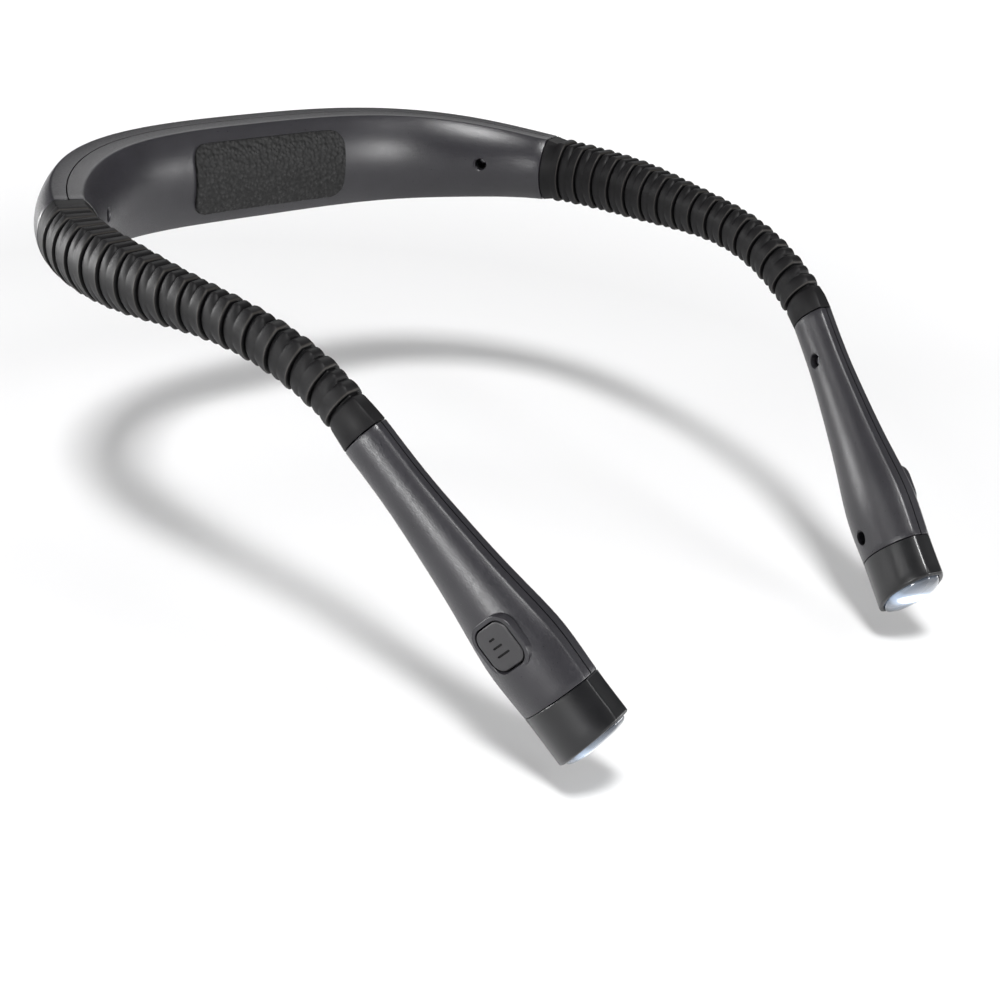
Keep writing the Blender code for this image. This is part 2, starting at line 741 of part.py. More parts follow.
def add_spine(word, side, pivot, look):
    """The gooseneck: a metal conduit from the housing's ferrule to the head's."""
    start = ROUTE.sleeve_start - END_WALL - FERRULE_INSIDE / 2
    stop = ROUTE.sleeve_end + END_WALL + FERRULE_INSIDE / 2
    outer, inner = [], []
    for place in spread(start, stop, SPINE_STATIONS):
        station = ROUTE.station(place)
        outer.append(ring_at(station, circle(SPINE_RADIUS, SPINE_SIDES)))
        inner.append(ring_at(station, circle(SPINE_BORE_RADIUS, SPINE_SIDES)))
    return finish(f"{word}_gooseneck_spine", tube_loft(outer, inner), look, side, pivot)


def ferrule_rings(place, towards):
    """A flanged barrel round the spine's end: its flange lies behind the end wall."""
    bore = SPINE_RADIUS + SEAT_GAP
    barrel = bore + FERRULE_WALL
    flange = barrel + FERRULE_FLANGE_WALL
    wall = END_WALL + SEAT_GAP
    tail = wall + FERRULE_INSIDE - FERRULE_FLANGE_LENGTH
    steps = (
        (-FERRULE_IN_SLEEVE, barrel),
        (wall, barrel),
        (wall, flange),
        (wall + FERRULE_FLANGE_LENGTH, flange),
        (wall + FERRULE_FLANGE_LENGTH, barrel),
        (tail, barrel),
    )
    outer, inner = [], []
    for ahead, radius in steps:
        station = ROUTE.station(place + ahead * towards)
        outer.append(ring_at(station, circle(radius, SPINE_SIDES)))
        inner.append(ring_at(station, circle(bore, SPINE_SIDES)))
    return outer, inner


def add_ferrule(name, place, towards, look, side, pivot=None):
    outer, inner = ferrule_rings(place, towards)
    return finish(name, tube_loft(outer, [inner[0], inner[-1]]), look, side, pivot)


# Heads


def button_station():
    """The button's own station: raised towards the top strip, sunk below the crown and leaned down a little."""
    station = ROUTE.station(ROUTE.head(BUTTON_SHARE))
    lean = Matrix.Rotation(-math.radians(BUTTON_LEAN_DEG), 3, station.along)
    return replace(
        station,
        point=station.at(up=BUTTON_RISE),
        up=lean @ station.up,
        out=lean @ station.out,
        half_depth=station.half_depth - BUTTON_SINK,
    )


def button_tools(word, side):
    """Flat-topped boss and opening of the button, for the outer shell."""
    station = button_station()
    top = station.half_depth
    deep = top - SHELL_WALL
    hole_side, hole_corner = BUTTON_SIDE + 2 * SEAT_GAP, BUTTON_CORNER + SEAT_GAP
    boss_side, boss_corner = hole_side + 2 * BOSS_WIDTH, hole_corner + BOSS_WIDTH
    boss_steps = ((deep, boss_side, boss_corner), (top, boss_side, boss_corner))
    hole_steps = ((deep - OVERRUN, hole_side, hole_corner), (top + OVERRUN, hole_side, hole_corner))
    return (
        tool(f"{word}_button_boss_tool", square_prism(station, boss_steps), side),
        tool(f"{word}_button_hole_tool", square_prism(station, hole_steps), side),
    )


def add_head_shells(word, side, pivot, looks):
    start, stop = ROUTE.sleeve_end, ROUTE.bezel_start
    places = spread(start, stop, HEAD_STATIONS)
    outer = shell_half(1, places, looks["shell"], f"{word}_head_outer_shell", side, pivot)
    inner = shell_half(-1, places, looks["shell"], f"{word}_head_inner_shell", side, pivot)
    boss, hole = button_tools(word, side)
    join(outer, boss)
    hollow = cavity(spread(start + END_WALL, stop + OVERRUN, HEAD_STATIONS), f"{word}_head_cavity_tool", side)
    cut(outer, hollow, hole)
    cut(inner, hollow)
    entry = ferrule_hole(start, 1, f"{word}_head_end_tool", side)
    cut(outer, entry)
    cut(inner, entry)
    for name, place, drop in screw_places():
        fit_screw_tools(outer, inner, screw_tools(place, drop, f"{word}_{name}", side))
        add_screw(f"{word}_{name}", place, drop, looks["steel"], side, pivot)


def screw_places():
    nose = ROUTE.bezel_start - NOSE_SCREW_SETBACK
    return (("neck_screw", ROUTE.head(NECK_SCREW_SHARE), 0.0), ("nose_screw", nose, NOSE_SCREW_DROP))


def add_bezel(word, side, pivot, look):
    """The bezel: a short ring that carries on the head's section, and a skirt that plugs into it."""
    start, stop = ROUTE.bezel_start + PART_GAP, ROUTE.end
    skirt_inset = SHELL_WALL + SEAT_GAP
    outer, inner = [], []
    steps = [(start - PART_GAP - BEZEL_SKIRT, skirt_inset), (start, skirt_inset)]
    steps += [(place, 0.0) for place in spread(start, stop - EDGE_EASE, BEZEL_STATIONS)]
    steps += [(stop, EDGE_EASE)]
    for place, inset in steps:
        station = ROUTE.station(place)
        outer.append(ring_at(station, outline(station, inset)))
    bore_inset = skirt_inset + BEZEL_WALL / 2
    bores = [(start - PART_GAP - BEZEL_SKIRT, bore_inset), (start + PART_GAP, bore_inset)]
    bores += [(start + PART_GAP, BEZEL_WALL), (stop, BEZEL_WALL)]
    for place, inset in bores:
        station = ROUTE.station(place)
        inner.append(ring_at(station, outline(station, inset)))
    return finish(f"{word}_bezel", tube_loft(outer, inner), look, side, pivot)


def add_lens(word, side, pivot, look):
    """The clear window: a rim that fills the bezel and a shallow dome in front of it."""
    back = ROUTE.end - LENS_RECESS - LENS_RIM
    fill = BEZEL_WALL + SEAT_GAP
    station = ROUTE.station(back)
    rings = [ring_at(station, outline(station, fill))]
    for turn in (0.0, 0.35, 0.65, 0.88):
        shrink = math.cos(math.pi / 2 * turn)
        ahead = LENS_RIM + LENS_DOME * math.sin(math.pi / 2 * turn)
        places = outline(station, fill)
        rings.append([station.at(ahead, out * shrink, up * shrink) for out, up in places])
    return finish(f"{word}_lens", loft(rings), look, side, pivot)


def led_board_front():
    return ROUTE.bezel_start - BEZEL_SKIRT - SEAT_GAP


def add_reflector(word, side, pivot, look):
    """The cup that opens from a round throat at the light source to the lens's oblong."""
    back = led_board_front() + SEAT_GAP
    front = ROUTE.end - LENS_RECESS - LENS_RIM - SEAT_GAP
    mouth = ROUTE.station(front)
    skirt = SHELL_WALL + BEZEL_WALL / 2 + 2 * SEAT_GAP
    outer, inner = [], []
    for share in (0.0, 0.35, 0.7, 1.0):
        station = ROUTE.station(back + (front - back) * share)
        wide = outline(mouth, skirt + EDGE_EASE)
        round_places = bore_circle(REFLECTOR_THROAT_RADIUS + REFLECTOR_WALL)
        bowl = math.sin(math.pi / 2 * share)
        blend = [(a + (c - a) * bowl, b + (d - b) * bowl) for (a, b), (c, d) in zip(round_places, wide)]
        outer.append(ring_at(station, blend))
        inner.append(ring_at(station, [shrunk(place, REFLECTOR_WALL) for place in blend]))
    return finish(f"{word}_reflector", tube_loft(outer, inner), look, side, pivot)


def shrunk(place, amount):
    reach = math.hypot(*place)
    return tuple(value * (1 - amount / reach) for value in place)


def add_light_source(word, side, pivot, looks):
    """The metal-cored board that closes the skirt, and the light source on its front."""
    front = led_board_front()
    inset = SHELL_WALL + SEAT_GAP
    rings = []
    for place in (front - LED_BOARD_THICKNESS, front):
        station = ROUTE.station(place)
        rings.append(ring_at(station, outline(station, inset)))
    finish(f"{word}_led_board", loft(rings), looks["aluminium"], side, pivot)
    station = ROUTE.station(front)
    chip = block(station, LED_HEIGHT, LED_SIDE, LED_SIDE, ahead=SEAT_GAP / 3 + LED_HEIGHT / 2)
    finish(f"{word}_led", chip, looks["led"], side, pivot)


def flange_top():
    return button_station().half_depth - BUTTON_SKIRT


def add_button(word, side, pivot, look):
    """The cap: a softly crowned rounded square, with a flange that keeps it behind the shell."""
    station = button_station()
    crown = station.half_depth + BUTTON_PROUD
    under = flange_top()
    wide = BUTTON_SIDE + 2 * BUTTON_FLANGE
    steps = (
        (under - BUTTON_FLANGE_THICKNESS, wide, BUTTON_CORNER),
        (under, wide, BUTTON_CORNER),
        (under, BUTTON_SIDE, BUTTON_CORNER),
        (crown - EDGE_EASE, BUTTON_SIDE, BUTTON_CORNER),
        (crown - EDGE_EASE / 4, BUTTON_SIDE - EDGE_EASE, BUTTON_CORNER - EDGE_EASE / 2),
        (crown, BUTTON_SIDE - 3 * EDGE_EASE, BUTTON_CORNER - EDGE_EASE),
    )
    return finish(f"{word}_button", square_prism(station, steps), look, side, pivot)


def add_switch(word, side, pivot, looks):
    """The switch under the button and the small board that carries it."""
    station = button_station()
    top = flange_top() - BUTTON_FLANGE_THICKNESS - BUTTON_TRAVEL - SEAT_GAP / 3
    body_top = top - PLUNGER_HEIGHT
    body_low = body_top - SWITCH_HEIGHT
    body = block(station, SWITCH_SIDE, SWITCH_HEIGHT, SWITCH_SIDE, out=(body_top + body_low) / 2)
    switch = finish(f"{word}_tact_switch", body, looks["black"], side, pivot)
    plunger = turned_across(station, ((body_low + SWITCH_HEIGHT / 2, PLUNGER_RADIUS), (top, PLUNGER_RADIUS)))
    join(switch, tool(f"{word}_plunger_tool", plunger, side))
    board_top = body_low - SEAT_GAP / 3
    board = block(
        station,
        SWITCH_BOARD_LENGTH,
        SWITCH_BOARD_THICKNESS,
        SWITCH_BOARD_WIDTH,
        out=board_top - SWITCH_BOARD_THICKNESS / 2,
    )
    finish(f"{word}_switch_board", board, looks["circuit"], side, pivot)


def add_arm_and_head(side, looks):
    """One arm with its lamp head, on the pivots of its two bends and of its button."""
    word = SIDE_NAMES[side]
    swing = ROUTE.station(ROUTE.sleeve(SWING_SHARE)).point
    tilt = ROUTE.station(ROUTE.sleeve(TILT_SHARE)).point
    arm = add_pivot(f"{word}_arm_swing_pivot", swing, side)
    head = add_pivot(f"{word}_head_tilt_pivot", tilt, side, arm)
    guide = add_pivot(f"{word}_button_guide", button_station().point, side, head)
    add_ferrule(f"{word}_housing_ferrule", ROUTE.sleeve_start, -1, looks["aluminium"], side)
    add_sleeve(word, side, arm, looks["silicone"])
    add_spine(word, side, arm, looks["steel"])
    add_ferrule(f"{word}_head_ferrule", ROUTE.sleeve_end, 1, looks["aluminium"], side, head)
    add_head_shells(word, side, head, looks)
    add_bezel(word, side, head, looks["black"])
    add_lens(word, side, head, looks["clear"])
    add_reflector(word, side, head, looks["mirror"])
    add_light_source(word, side, head, looks)
    add_switch(word, side, head, looks)
    add_button(word, side, guide, looks["button"])


def make_looks():
    return {
        "shell": material("charcoal_plastic", (0.062, 0.06, 0.068), 0.42),
        "pad": material("nape_foam", (0.016, 0.016, 0.018), 0.9),
        "silicone": material("black_silicone", (0.012, 0.012, 0.013), 0.6),
        "black": material("gloss_black_plastic", (0.008, 0.008, 0.009), 0.16),
        "button": material("button_rubber", (0.03, 0.03, 0.033), 0.55),
        "clear": material("clear_lens", (0.9, 0.93, 0.96), 0.04, clear=0.9),
        "mirror": material("reflector_chrome", (0.85, 0.86, 0.88), 0.08, metallic=1.0),
        "led": material("white_light_source", (0.9, 0.95, 1.0), 0.4, glow=8.0),
        "steel": material("zinc_plated_steel", (0.42, 0.42, 0.44), 0.35, metallic=1.0),
        "aluminium": material("aluminium", (0.6, 0.61, 0.63), 0.38, metallic=1.0),
        "circuit": material("circuit_board", (0.03, 0.13, 0.06), 0.45),
        "cell": material("cell_wrap", (0.05, 0.1, 0.22), 0.5),
    }


def clear_scene():
    for obj in list(bpy.data.objects):
        bpy.data.objects.remove(obj, do_unlink=True)


def main():
    clear_scene()
    looks = make_looks()
    add_housing(looks)
    add_pad(looks["pad"])
    add_cell(looks["cell"])
    add_charge_board(looks["circuit"])
    add_socket(looks["steel"])
    for side in SIDE_NAMES:
        add_arm_and_head(side, looks)


main()
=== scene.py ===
"""Neck reading light, dressed: the charcoal housing, its pebbled pad, the ribbed arms and the two lamp heads.

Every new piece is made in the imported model's own frame, in metres: worn upright with +Z up, light thrown
towards -Y, mirrored about X = 0. The right side is modelled, and the left side is its mirror image.
"""

from __future__ import annotations

import logging
import math
from dataclasses import dataclass, replace
from enum import Enum
from typing import Iterable, Sequence

import bmesh
import bpy
import numpy as np
from mathutils import Matrix, Vector


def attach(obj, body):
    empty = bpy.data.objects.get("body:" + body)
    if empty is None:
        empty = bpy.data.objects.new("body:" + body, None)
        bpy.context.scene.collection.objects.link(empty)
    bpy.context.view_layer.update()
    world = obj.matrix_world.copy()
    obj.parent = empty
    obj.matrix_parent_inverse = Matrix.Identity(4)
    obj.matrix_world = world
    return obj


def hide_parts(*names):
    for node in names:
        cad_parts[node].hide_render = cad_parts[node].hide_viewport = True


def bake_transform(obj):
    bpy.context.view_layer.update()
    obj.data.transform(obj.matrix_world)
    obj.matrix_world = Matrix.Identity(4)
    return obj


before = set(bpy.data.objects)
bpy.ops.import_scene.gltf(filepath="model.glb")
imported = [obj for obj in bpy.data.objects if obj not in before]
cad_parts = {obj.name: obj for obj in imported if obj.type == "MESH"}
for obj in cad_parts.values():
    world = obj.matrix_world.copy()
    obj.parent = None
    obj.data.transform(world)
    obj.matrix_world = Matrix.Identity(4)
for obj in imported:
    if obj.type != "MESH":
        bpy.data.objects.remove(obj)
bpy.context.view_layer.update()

LOG = logging.getLogger("neck_light")
MM = 0.001

Colour = tuple[float, float, float]
Point = tuple[float, float, float]
Place = tuple[float, float]
Socket = bpy.types.NodeSocket
Object = bpy.types.Object
BMesh = bmesh.types.BMesh
Vert = bmesh.types.BMVert
Edge = bmesh.types.BMEdge
Bend = tuple[str, str, Vector, Vector]


class Side(Enum):
    """The wearer's right or left."""

    RIGHT = 1
    LEFT = -1

    @property
    def word(self) -> str:
        """The side's name at the front of a piece's name."""
        return self.name.lower()


class Shell(Enum):
    """The half of a housing that faces away from the neck, or towards it."""

    OUTER = 1
    INNER = -1


class Slot(Enum):
    """The record's material slots."""

    CHARCOAL = "charcoal_plastic"
    FOAM = "nape_foam"
    SILICONE = "black_silicone"
    GLOSS = "gloss_black_plastic"
    RUBBER = "button_rubber"
    CLEAR = "clear_plastic"
    CHROME = "reflector_chrome"
    LIGHT = "light_source"
    STEEL = "plated_steel"
    ALUMINIUM = "aluminium"
    CIRCUIT = "circuit_board"
    WRAP = "cell_wrap"


# Finishes


class NodeSheet:
    """The node tree of one finish, with short calls for the nodes it needs."""

    def __init__(self, name: str) -> None:
        """Starts a material with its Principled shader.

        Args:
            name: The material's name.
        """
        self.material = bpy.data.materials.new(name)
        self.material.use_nodes = True
        self.tree = self.material.node_tree
        self.shader = self.tree.nodes["Principled BSDF"]
        self.coordinates = self.add("ShaderNodeTexCoord").outputs["Object"]

    def add(self, kind: str, **settings: object) -> bpy.types.Node:
        """Adds a node.

        Args:
            kind: The node's type.
            settings: The node's own settings, by their names.

        Returns:
            The new node.
        """
        node = self.tree.nodes.new(kind)
        for key, value in settings.items():
            setattr(node, key, value)
        return node

    def join(self, source: Socket, target: Socket) -> None:
        """Links one socket to another."""
        self.tree.links.new(source, target)

    def noise(self, size: float, detail: float = 2.0, roughness: float = 0.5) -> Socket:
        """Cloudy noise.

        Args:
            size: The width of one cloud, in metres.
            detail: How many finer octaves it has.
            roughness: How strong the finer octaves are.

        Returns:
            The socket of the noise's value.
        """
        node = self.add("ShaderNodeTexNoise")
        node.inputs["Scale"].default_value = 1.0 / size
        node.inputs["Detail"].default_value = detail
        node.inputs["Roughness"].default_value = roughness
        self.join(self.coordinates, node.inputs["Vector"])
        return node.outputs["Fac"]

    def cells(self, size: float, smoothness: float) -> Socket:
        """Pebble cells.

        Args:
            size: The width of one cell, in metres.
            smoothness: How far neighbouring cells melt together, from 0 to 1.

        Returns:
            The socket of the distance from the middle of the nearest cell.
        """
        node = self.add("ShaderNodeTexVoronoi", feature="SMOOTH_F1")
        node.inputs["Scale"].default_value = 1.0 / size
        node.inputs["Smoothness"].default_value = smoothness
        self.join(self.coordinates, node.inputs["Vector"])
        return node.outputs["Distance"]

    def attribute(self, name: str) -> Socket:
        """The value that a mesh carries at its vertices."""
        node = self.add("ShaderNodeAttribute", attribute_type="GEOMETRY", attribute_name=name)
        return node.outputs["Fac"]

    def curve(self, source: Socket, stops: Sequence[tuple[float, Colour]]) -> Socket:
        """A colour ramp.

        Args:
            source: The value that is read.
            stops: Places from 0 to 1 with their colours.

        Returns:
            The ramp's colour.
        """
        node = self.add("ShaderNodeValToRGB")
        ramp = node.color_ramp
        while len(ramp.elements) < len(stops):
            ramp.elements.new(1.0)
        for element, (place, colour) in zip(ramp.elements, stops):
            element.position = place
            element.color = (*colour, 1.0)
        self.join(source, node.inputs["Fac"])
        return node.outputs["Color"]

    def spread(self, source: Socket, low: float, high: float) -> Socket:
        """Stretches a value.

        Args:
            source: The value, from 0 to 1.
            low: What 0 becomes.
            high: What 1 becomes.

        Returns:
            The stretched value.
        """
        node = self.add("ShaderNodeMapRange")
        node.inputs["To Min"].default_value = low
        node.inputs["To Max"].default_value = high
        self.join(source, node.inputs["Value"])
        return node.outputs["Result"]

    def relief(self, height: Socket, depth: float, under: Socket | None = None) -> Socket:
        """Bump.

        Args:
            height: The height, from 0 to 1.
            depth: What a height of 1 stands for, in metres.
            under: The normal of a coarser relief that this one lies on.

        Returns:
            The bumped normal.
        """
        node = self.add("ShaderNodeBump")
        node.inputs["Strength"].default_value = 1.0
        node.inputs["Distance"].default_value = depth
        self.join(height, node.inputs["Height"])
        if under is not None:
            self.join(under, node.inputs["Normal"])
        return node.outputs["Normal"]

    def set(self, **values: object) -> None:
        """Sets the shader's own sockets, named with underscores."""
        for key, value in values.items():
            self.shader.inputs[key.replace("_", " ")].default_value = value

    def drive(self, source: Socket, socket: str) -> None:
        """Links a value to one of the shader's sockets."""
        self.join(source, self.shader.inputs[socket])


@dataclass(frozen=True)
class Finish:
    """A moulded or machined surface: clouded colour and roughness over a fine grain."""

    name: str
    slot: Slot
    colour: Colour
    tint: Colour
    roughness: float
    rough_spread: float = 0.05
    rough_cloud: float = 3.0 * MM
    cloud: float = 9.0 * MM
    grain: float = 0.25 * MM
    relief: float = 0.004 * MM
    metallic: float = 0.0
    coat: float = 0.0
    clear: float = 0.0
    specular: float = 0.5
    coat_roughness: float = 0.06
    cloud_detail: float = 4.0
    cloud_stops: Place = (0.3, 0.7)
    rough_detail: float = 3.0
    grain_detail: float = 3.0
    grain_roughness: float = 0.7

    def build(self) -> bpy.types.Material:
        """Makes the material.

        Returns:
            The finished material.
        """
        sheet = NodeSheet(self.name)
        sheet.set(Metallic=self.metallic, Coat_Weight=self.coat, Coat_Roughness=self.coat_roughness)
        sheet.set(Transmission_Weight=self.clear, Specular_IOR_Level=self.specular)
        self.paint(sheet)
        self.roughen(sheet)
        return sheet.material

    def paint(self, sheet: NodeSheet) -> None:
        """Lays the clouded colour."""
        clouds = sheet.noise(self.cloud, self.cloud_detail)
        sheet.drive(sheet.curve(clouds, tuple(zip(self.cloud_stops, (self.colour, self.tint)))), "Base Color")

    def roughen(self, sheet: NodeSheet) -> None:
        """Lays the roughness and the grain."""
        self.polish(sheet, sheet.noise(self.rough_cloud, self.rough_detail))
        self.lay_grain(sheet)

    def polish(self, sheet: NodeSheet, clouds: Socket) -> None:
        """Spreads the roughness over a value of 0 to 1."""
        low, high = self.roughness - self.rough_spread, self.roughness + self.rough_spread
        sheet.drive(sheet.spread(clouds, low, high), "Roughness")

    def lay_grain(self, sheet: NodeSheet, under: Socket | None = None) -> None:
        """Lays the fine grain, on a coarser relief where there is one."""
        grain = sheet.noise(self.grain, self.grain_detail, self.grain_roughness)
        sheet.drive(sheet.relief(grain, self.relief, under), "Normal")


@dataclass(frozen=True)
class PebbledFinish(Finish):
    """A soft pad skin with a pebbled, leathery grain."""

    pebble: float = 1.15 * MM
    pebble_relief: float = 0.45 * MM
    pebble_melt: float = 0.5
    pebble_stops: tuple[float, float, float] = (0.12, 0.34, 0.55)
    valley_shade: float = 0.4

    def paint(self, sheet: NodeSheet) -> None:
        """Paints shade into the valleys between the pebbles; the pebbles' tops are lighter.

        Args:
            sheet: The material's nodes.
        """
        valley = tuple(value * self.valley_shade for value in self.colour)
        stops = tuple(zip(self.pebble_stops, (self.tint, self.colour, valley)))
        sheet.drive(sheet.curve(sheet.cells(self.pebble, self.pebble_melt), stops), "Base Color")

    def roughen(self, sheet: NodeSheet) -> None:
        """Lays the roughness, the pebbles and the fine grain on them.

        Args:
            sheet: The material's nodes.
        """
        pebbles = sheet.cells(self.pebble, self.pebble_melt)
        self.polish(sheet, pebbles)
        self.lay_grain(sheet, sheet.relief(sheet.spread(pebbles, 1.0, 0.0), self.pebble_relief))


@dataclass(frozen=True)
class RibbedFinish(Finish):
    """The silicone of the sleeves, with painted shade in its grooves and a painted highlight on the rims of
    its ribs.
    """

    # groove is painted shade in the grooves; rim is a painted highlight on the flared rims.
    groove: Colour = (0.0010, 0.0010, 0.0012)
    rim: Colour = (0.024, 0.022, 0.020)
    painted_light_stops: tuple[float, ...] = (0.0, 0.3, 0.5, 0.8, 1.0)
    mottle_detail: float = 3.0
    mottle: Place = (0.75, 1.25)

    def paint(self, sheet: NodeSheet) -> None:
        """Lays the colour by each ring's painted light that the mesh carries, painted shade in the grooves
        and a painted highlight on the rims, and mottles it.

        Args:
            sheet: The material's nodes.
        """
        # The mesh carries each ring's painted light: shade in the grooves, a highlight at the rims.
        height = sheet.attribute("rib_shade_and_highlight")
        stops = tuple(zip(self.painted_light_stops, (self.groove, self.groove, self.colour, self.tint, self.rim)))
        mottle = sheet.spread(sheet.noise(self.cloud, self.mottle_detail), *self.mottle)
        mixed = sheet.add("ShaderNodeMix", data_type="RGBA", blend_type="MULTIPLY")
        mixed.inputs["Factor"].default_value = 1.0
        sheet.join(sheet.curve(height, stops), mixed.inputs["A"])
        sheet.join(mottle, mixed.inputs["B"])
        sheet.drive(mixed.outputs["Result"], "Base Color")


@dataclass(frozen=True)
class LampFinish(Finish):
    """The lens of a lit lamp: a white glow in its middle that falls away to clear grey edges."""

    strength: float = 3.0
    glow: tuple[tuple[float, Colour], ...] = (
        (0.0, (1.0, 1.0, 1.0)),
        (0.14, (0.80, 0.90, 1.0)),
        (0.24, (0.10, 0.13, 0.18)),
        (0.36, (0.020, 0.026, 0.036)),
        (0.80, (0.004, 0.005, 0.007)),
    )
    pane_stops: Place = (0.35, 0.75)

    def paint(self, sheet: NodeSheet) -> None:
        """Lays the glow and the colour by the distance from the middle that the mesh carries.

        Args:
            sheet: The material's nodes.
        """
        reach = sheet.attribute("lens_reach")
        sheet.drive(sheet.curve(reach, self.glow), "Emission Color")
        sheet.set(Emission_Strength=self.strength)
        sheet.drive(sheet.curve(reach, tuple(zip(self.pane_stops, (self.tint, self.colour)))), "Base Color")


@dataclass(frozen=True)
class Wardrobe:
    """Every finish of the lamp, made once."""

    shell: Finish = Finish(
        "charcoal_satin",
        Slot.CHARCOAL,
        (0.0135, 0.0128, 0.0155),
        (0.0175, 0.0168, 0.0200),
        roughness=0.34,
        rough_spread=0.15,
        rough_cloud=0.45 * MM,
        grain=0.35 * MM,
        relief=0.035 * MM,
        specular=0.48,
    )
    pad: Finish = PebbledFinish(
        "pebbled_pad", Slot.FOAM, (0.005, 0.005, 0.005), (0.015, 0.015, 0.015), roughness=0.62, specular=0.35
    )
    sleeve: Finish = RibbedFinish(
        "ribbed_silicone",
        Slot.SILICONE,
        (0.0042, 0.0040, 0.0044),
        (0.0068, 0.0065, 0.0070),
        roughness=0.50,
        cloud=5 * MM,
        specular=0.16,
    )
    bezel: Finish = Finish(
        "gloss_black",
        Slot.GLOSS,
        (0.003, 0.003, 0.0035),
        (0.005, 0.005, 0.006),
        roughness=0.30,
        rough_spread=0.03,
        relief=0.001 * MM,
    )
    button: Finish = Finish(
        "button_rubber",
        Slot.RUBBER,
        (0.017, 0.0165, 0.018),
        (0.021, 0.020, 0.022),
        roughness=0.44,
        grain=0.2 * MM,
    )
    # Black sheets at the floors of the button's sunk bars: painted shade.
    mark: Finish = Finish(
        "button_mark",
        Slot.RUBBER,
        (0.002, 0.002, 0.002),
        (0.003, 0.003, 0.003),
        roughness=0.7,
        grain=0.2 * MM,
        specular=0.2,
    )
    lens: Finish = LampFinish(
        "lamp_lens",
        Slot.CLEAR,
        (0.045, 0.050, 0.060),
        (0.14, 0.16, 0.19),
        roughness=0.12,
        rough_spread=0.02,
        relief=0.0005 * MM,
        coat=0.6,
    )
    chrome: Finish = Finish(
        "reflector_chrome",
        Slot.CHROME,
        (0.80, 0.82, 0.84),
        (0.88, 0.89, 0.90),
        roughness=0.12,
        rough_spread=0.03,
        metallic=1.0,
    )
    steel: Finish = Finish(
        "screw_steel",
        Slot.STEEL,
        (0.42, 0.42, 0.44),
        (0.55, 0.55, 0.57),
        roughness=0.30,
        rough_spread=0.08,
        metallic=1.0,
    )
    spine: Finish = Finish(
        "spine_steel",
        Slot.STEEL,
        (0.42, 0.42, 0.44),
        (0.55, 0.55, 0.57),
        roughness=0.34,
        rough_spread=0.08,
        grain=0.5 * MM,
        metallic=1.0,
    )
    aluminium: Finish = Finish(
        "turned_aluminium",
        Slot.ALUMINIUM,
        (0.56, 0.57, 0.59),
        (0.66, 0.67, 0.69),
        roughness=0.36,
        rough_spread=0.08,
        metallic=1.0,
    )
    circuit: Finish = Finish(
        "circuit_board",
        Slot.CIRCUIT,
        (0.012, 0.085, 0.035),
        (0.020, 0.120, 0.050),
        roughness=0.42,
        cloud=1.5 * MM,
    )
    switch: Finish = Finish(
        "switch_black", Slot.GLOSS, (0.010, 0.010, 0.010), (0.020, 0.020, 0.020), roughness=0.4
    )
    wrap: Finish = Finish(
        "cell_wrap", Slot.WRAP, (0.02, 0.07, 0.20), (0.03, 0.09, 0.26), roughness=0.34, cloud=4 * MM
    )
    light: Finish = Finish(
        "light_source", Slot.LIGHT, (0.85, 0.80, 0.45), (0.95, 0.92, 0.60), roughness=0.45, cloud=1 * MM
    )


class FinishRack:
    """Hands out the material of each finish, made when it is first asked for."""

    def __init__(self) -> None:
        """Starts with no material made."""
        self.made: dict[str, bpy.types.Material] = {}

    def get(self, finish: Finish) -> bpy.types.Material:
        """Finds or makes a finish's material.

        Args:
            finish: The finish.

        Returns:
            Its material.
        """
        if finish.name not in self.made:
            self.made[finish.name] = finish.build()
        return self.made[finish.name]


# The route that carries the whole lamp


@dataclass(frozen=True)
class Station:
    """A place on the route: its point, its three directions and the size of the section there."""

    point: Vector
    along: Vector
    up: Vector
    out: Vector
    half_height: float
    half_strip: float
    half_depth: float

    def at(self, ahead: float = 0.0, out: float = 0.0, up: float = 0.0) -> Vector:
        """The point at a distance ahead, outwards and up from here."""
        return self.point + self.along * ahead + self.out * out + self.up * up

    def ring(self, places: Iterable[Place], ahead: float = 0.0) -> list[Vector]:
        """The points of (out, up) places."""
        return [self.at(ahead, out, up) for out, up in places]

    def face(self, rise: float) -> float:
        """How far the bulged face lies from the middle plane.

        Args:
            rise: The height above the centre line, or the drop below it.

        Returns:
            The distance.
        """
        bulge = self.half_depth - self.half_strip
        radius = (self.half_height**2 + bulge**2) / (2 * bulge)
        return self.half_depth - radius + math.sqrt(radius**2 - rise**2)


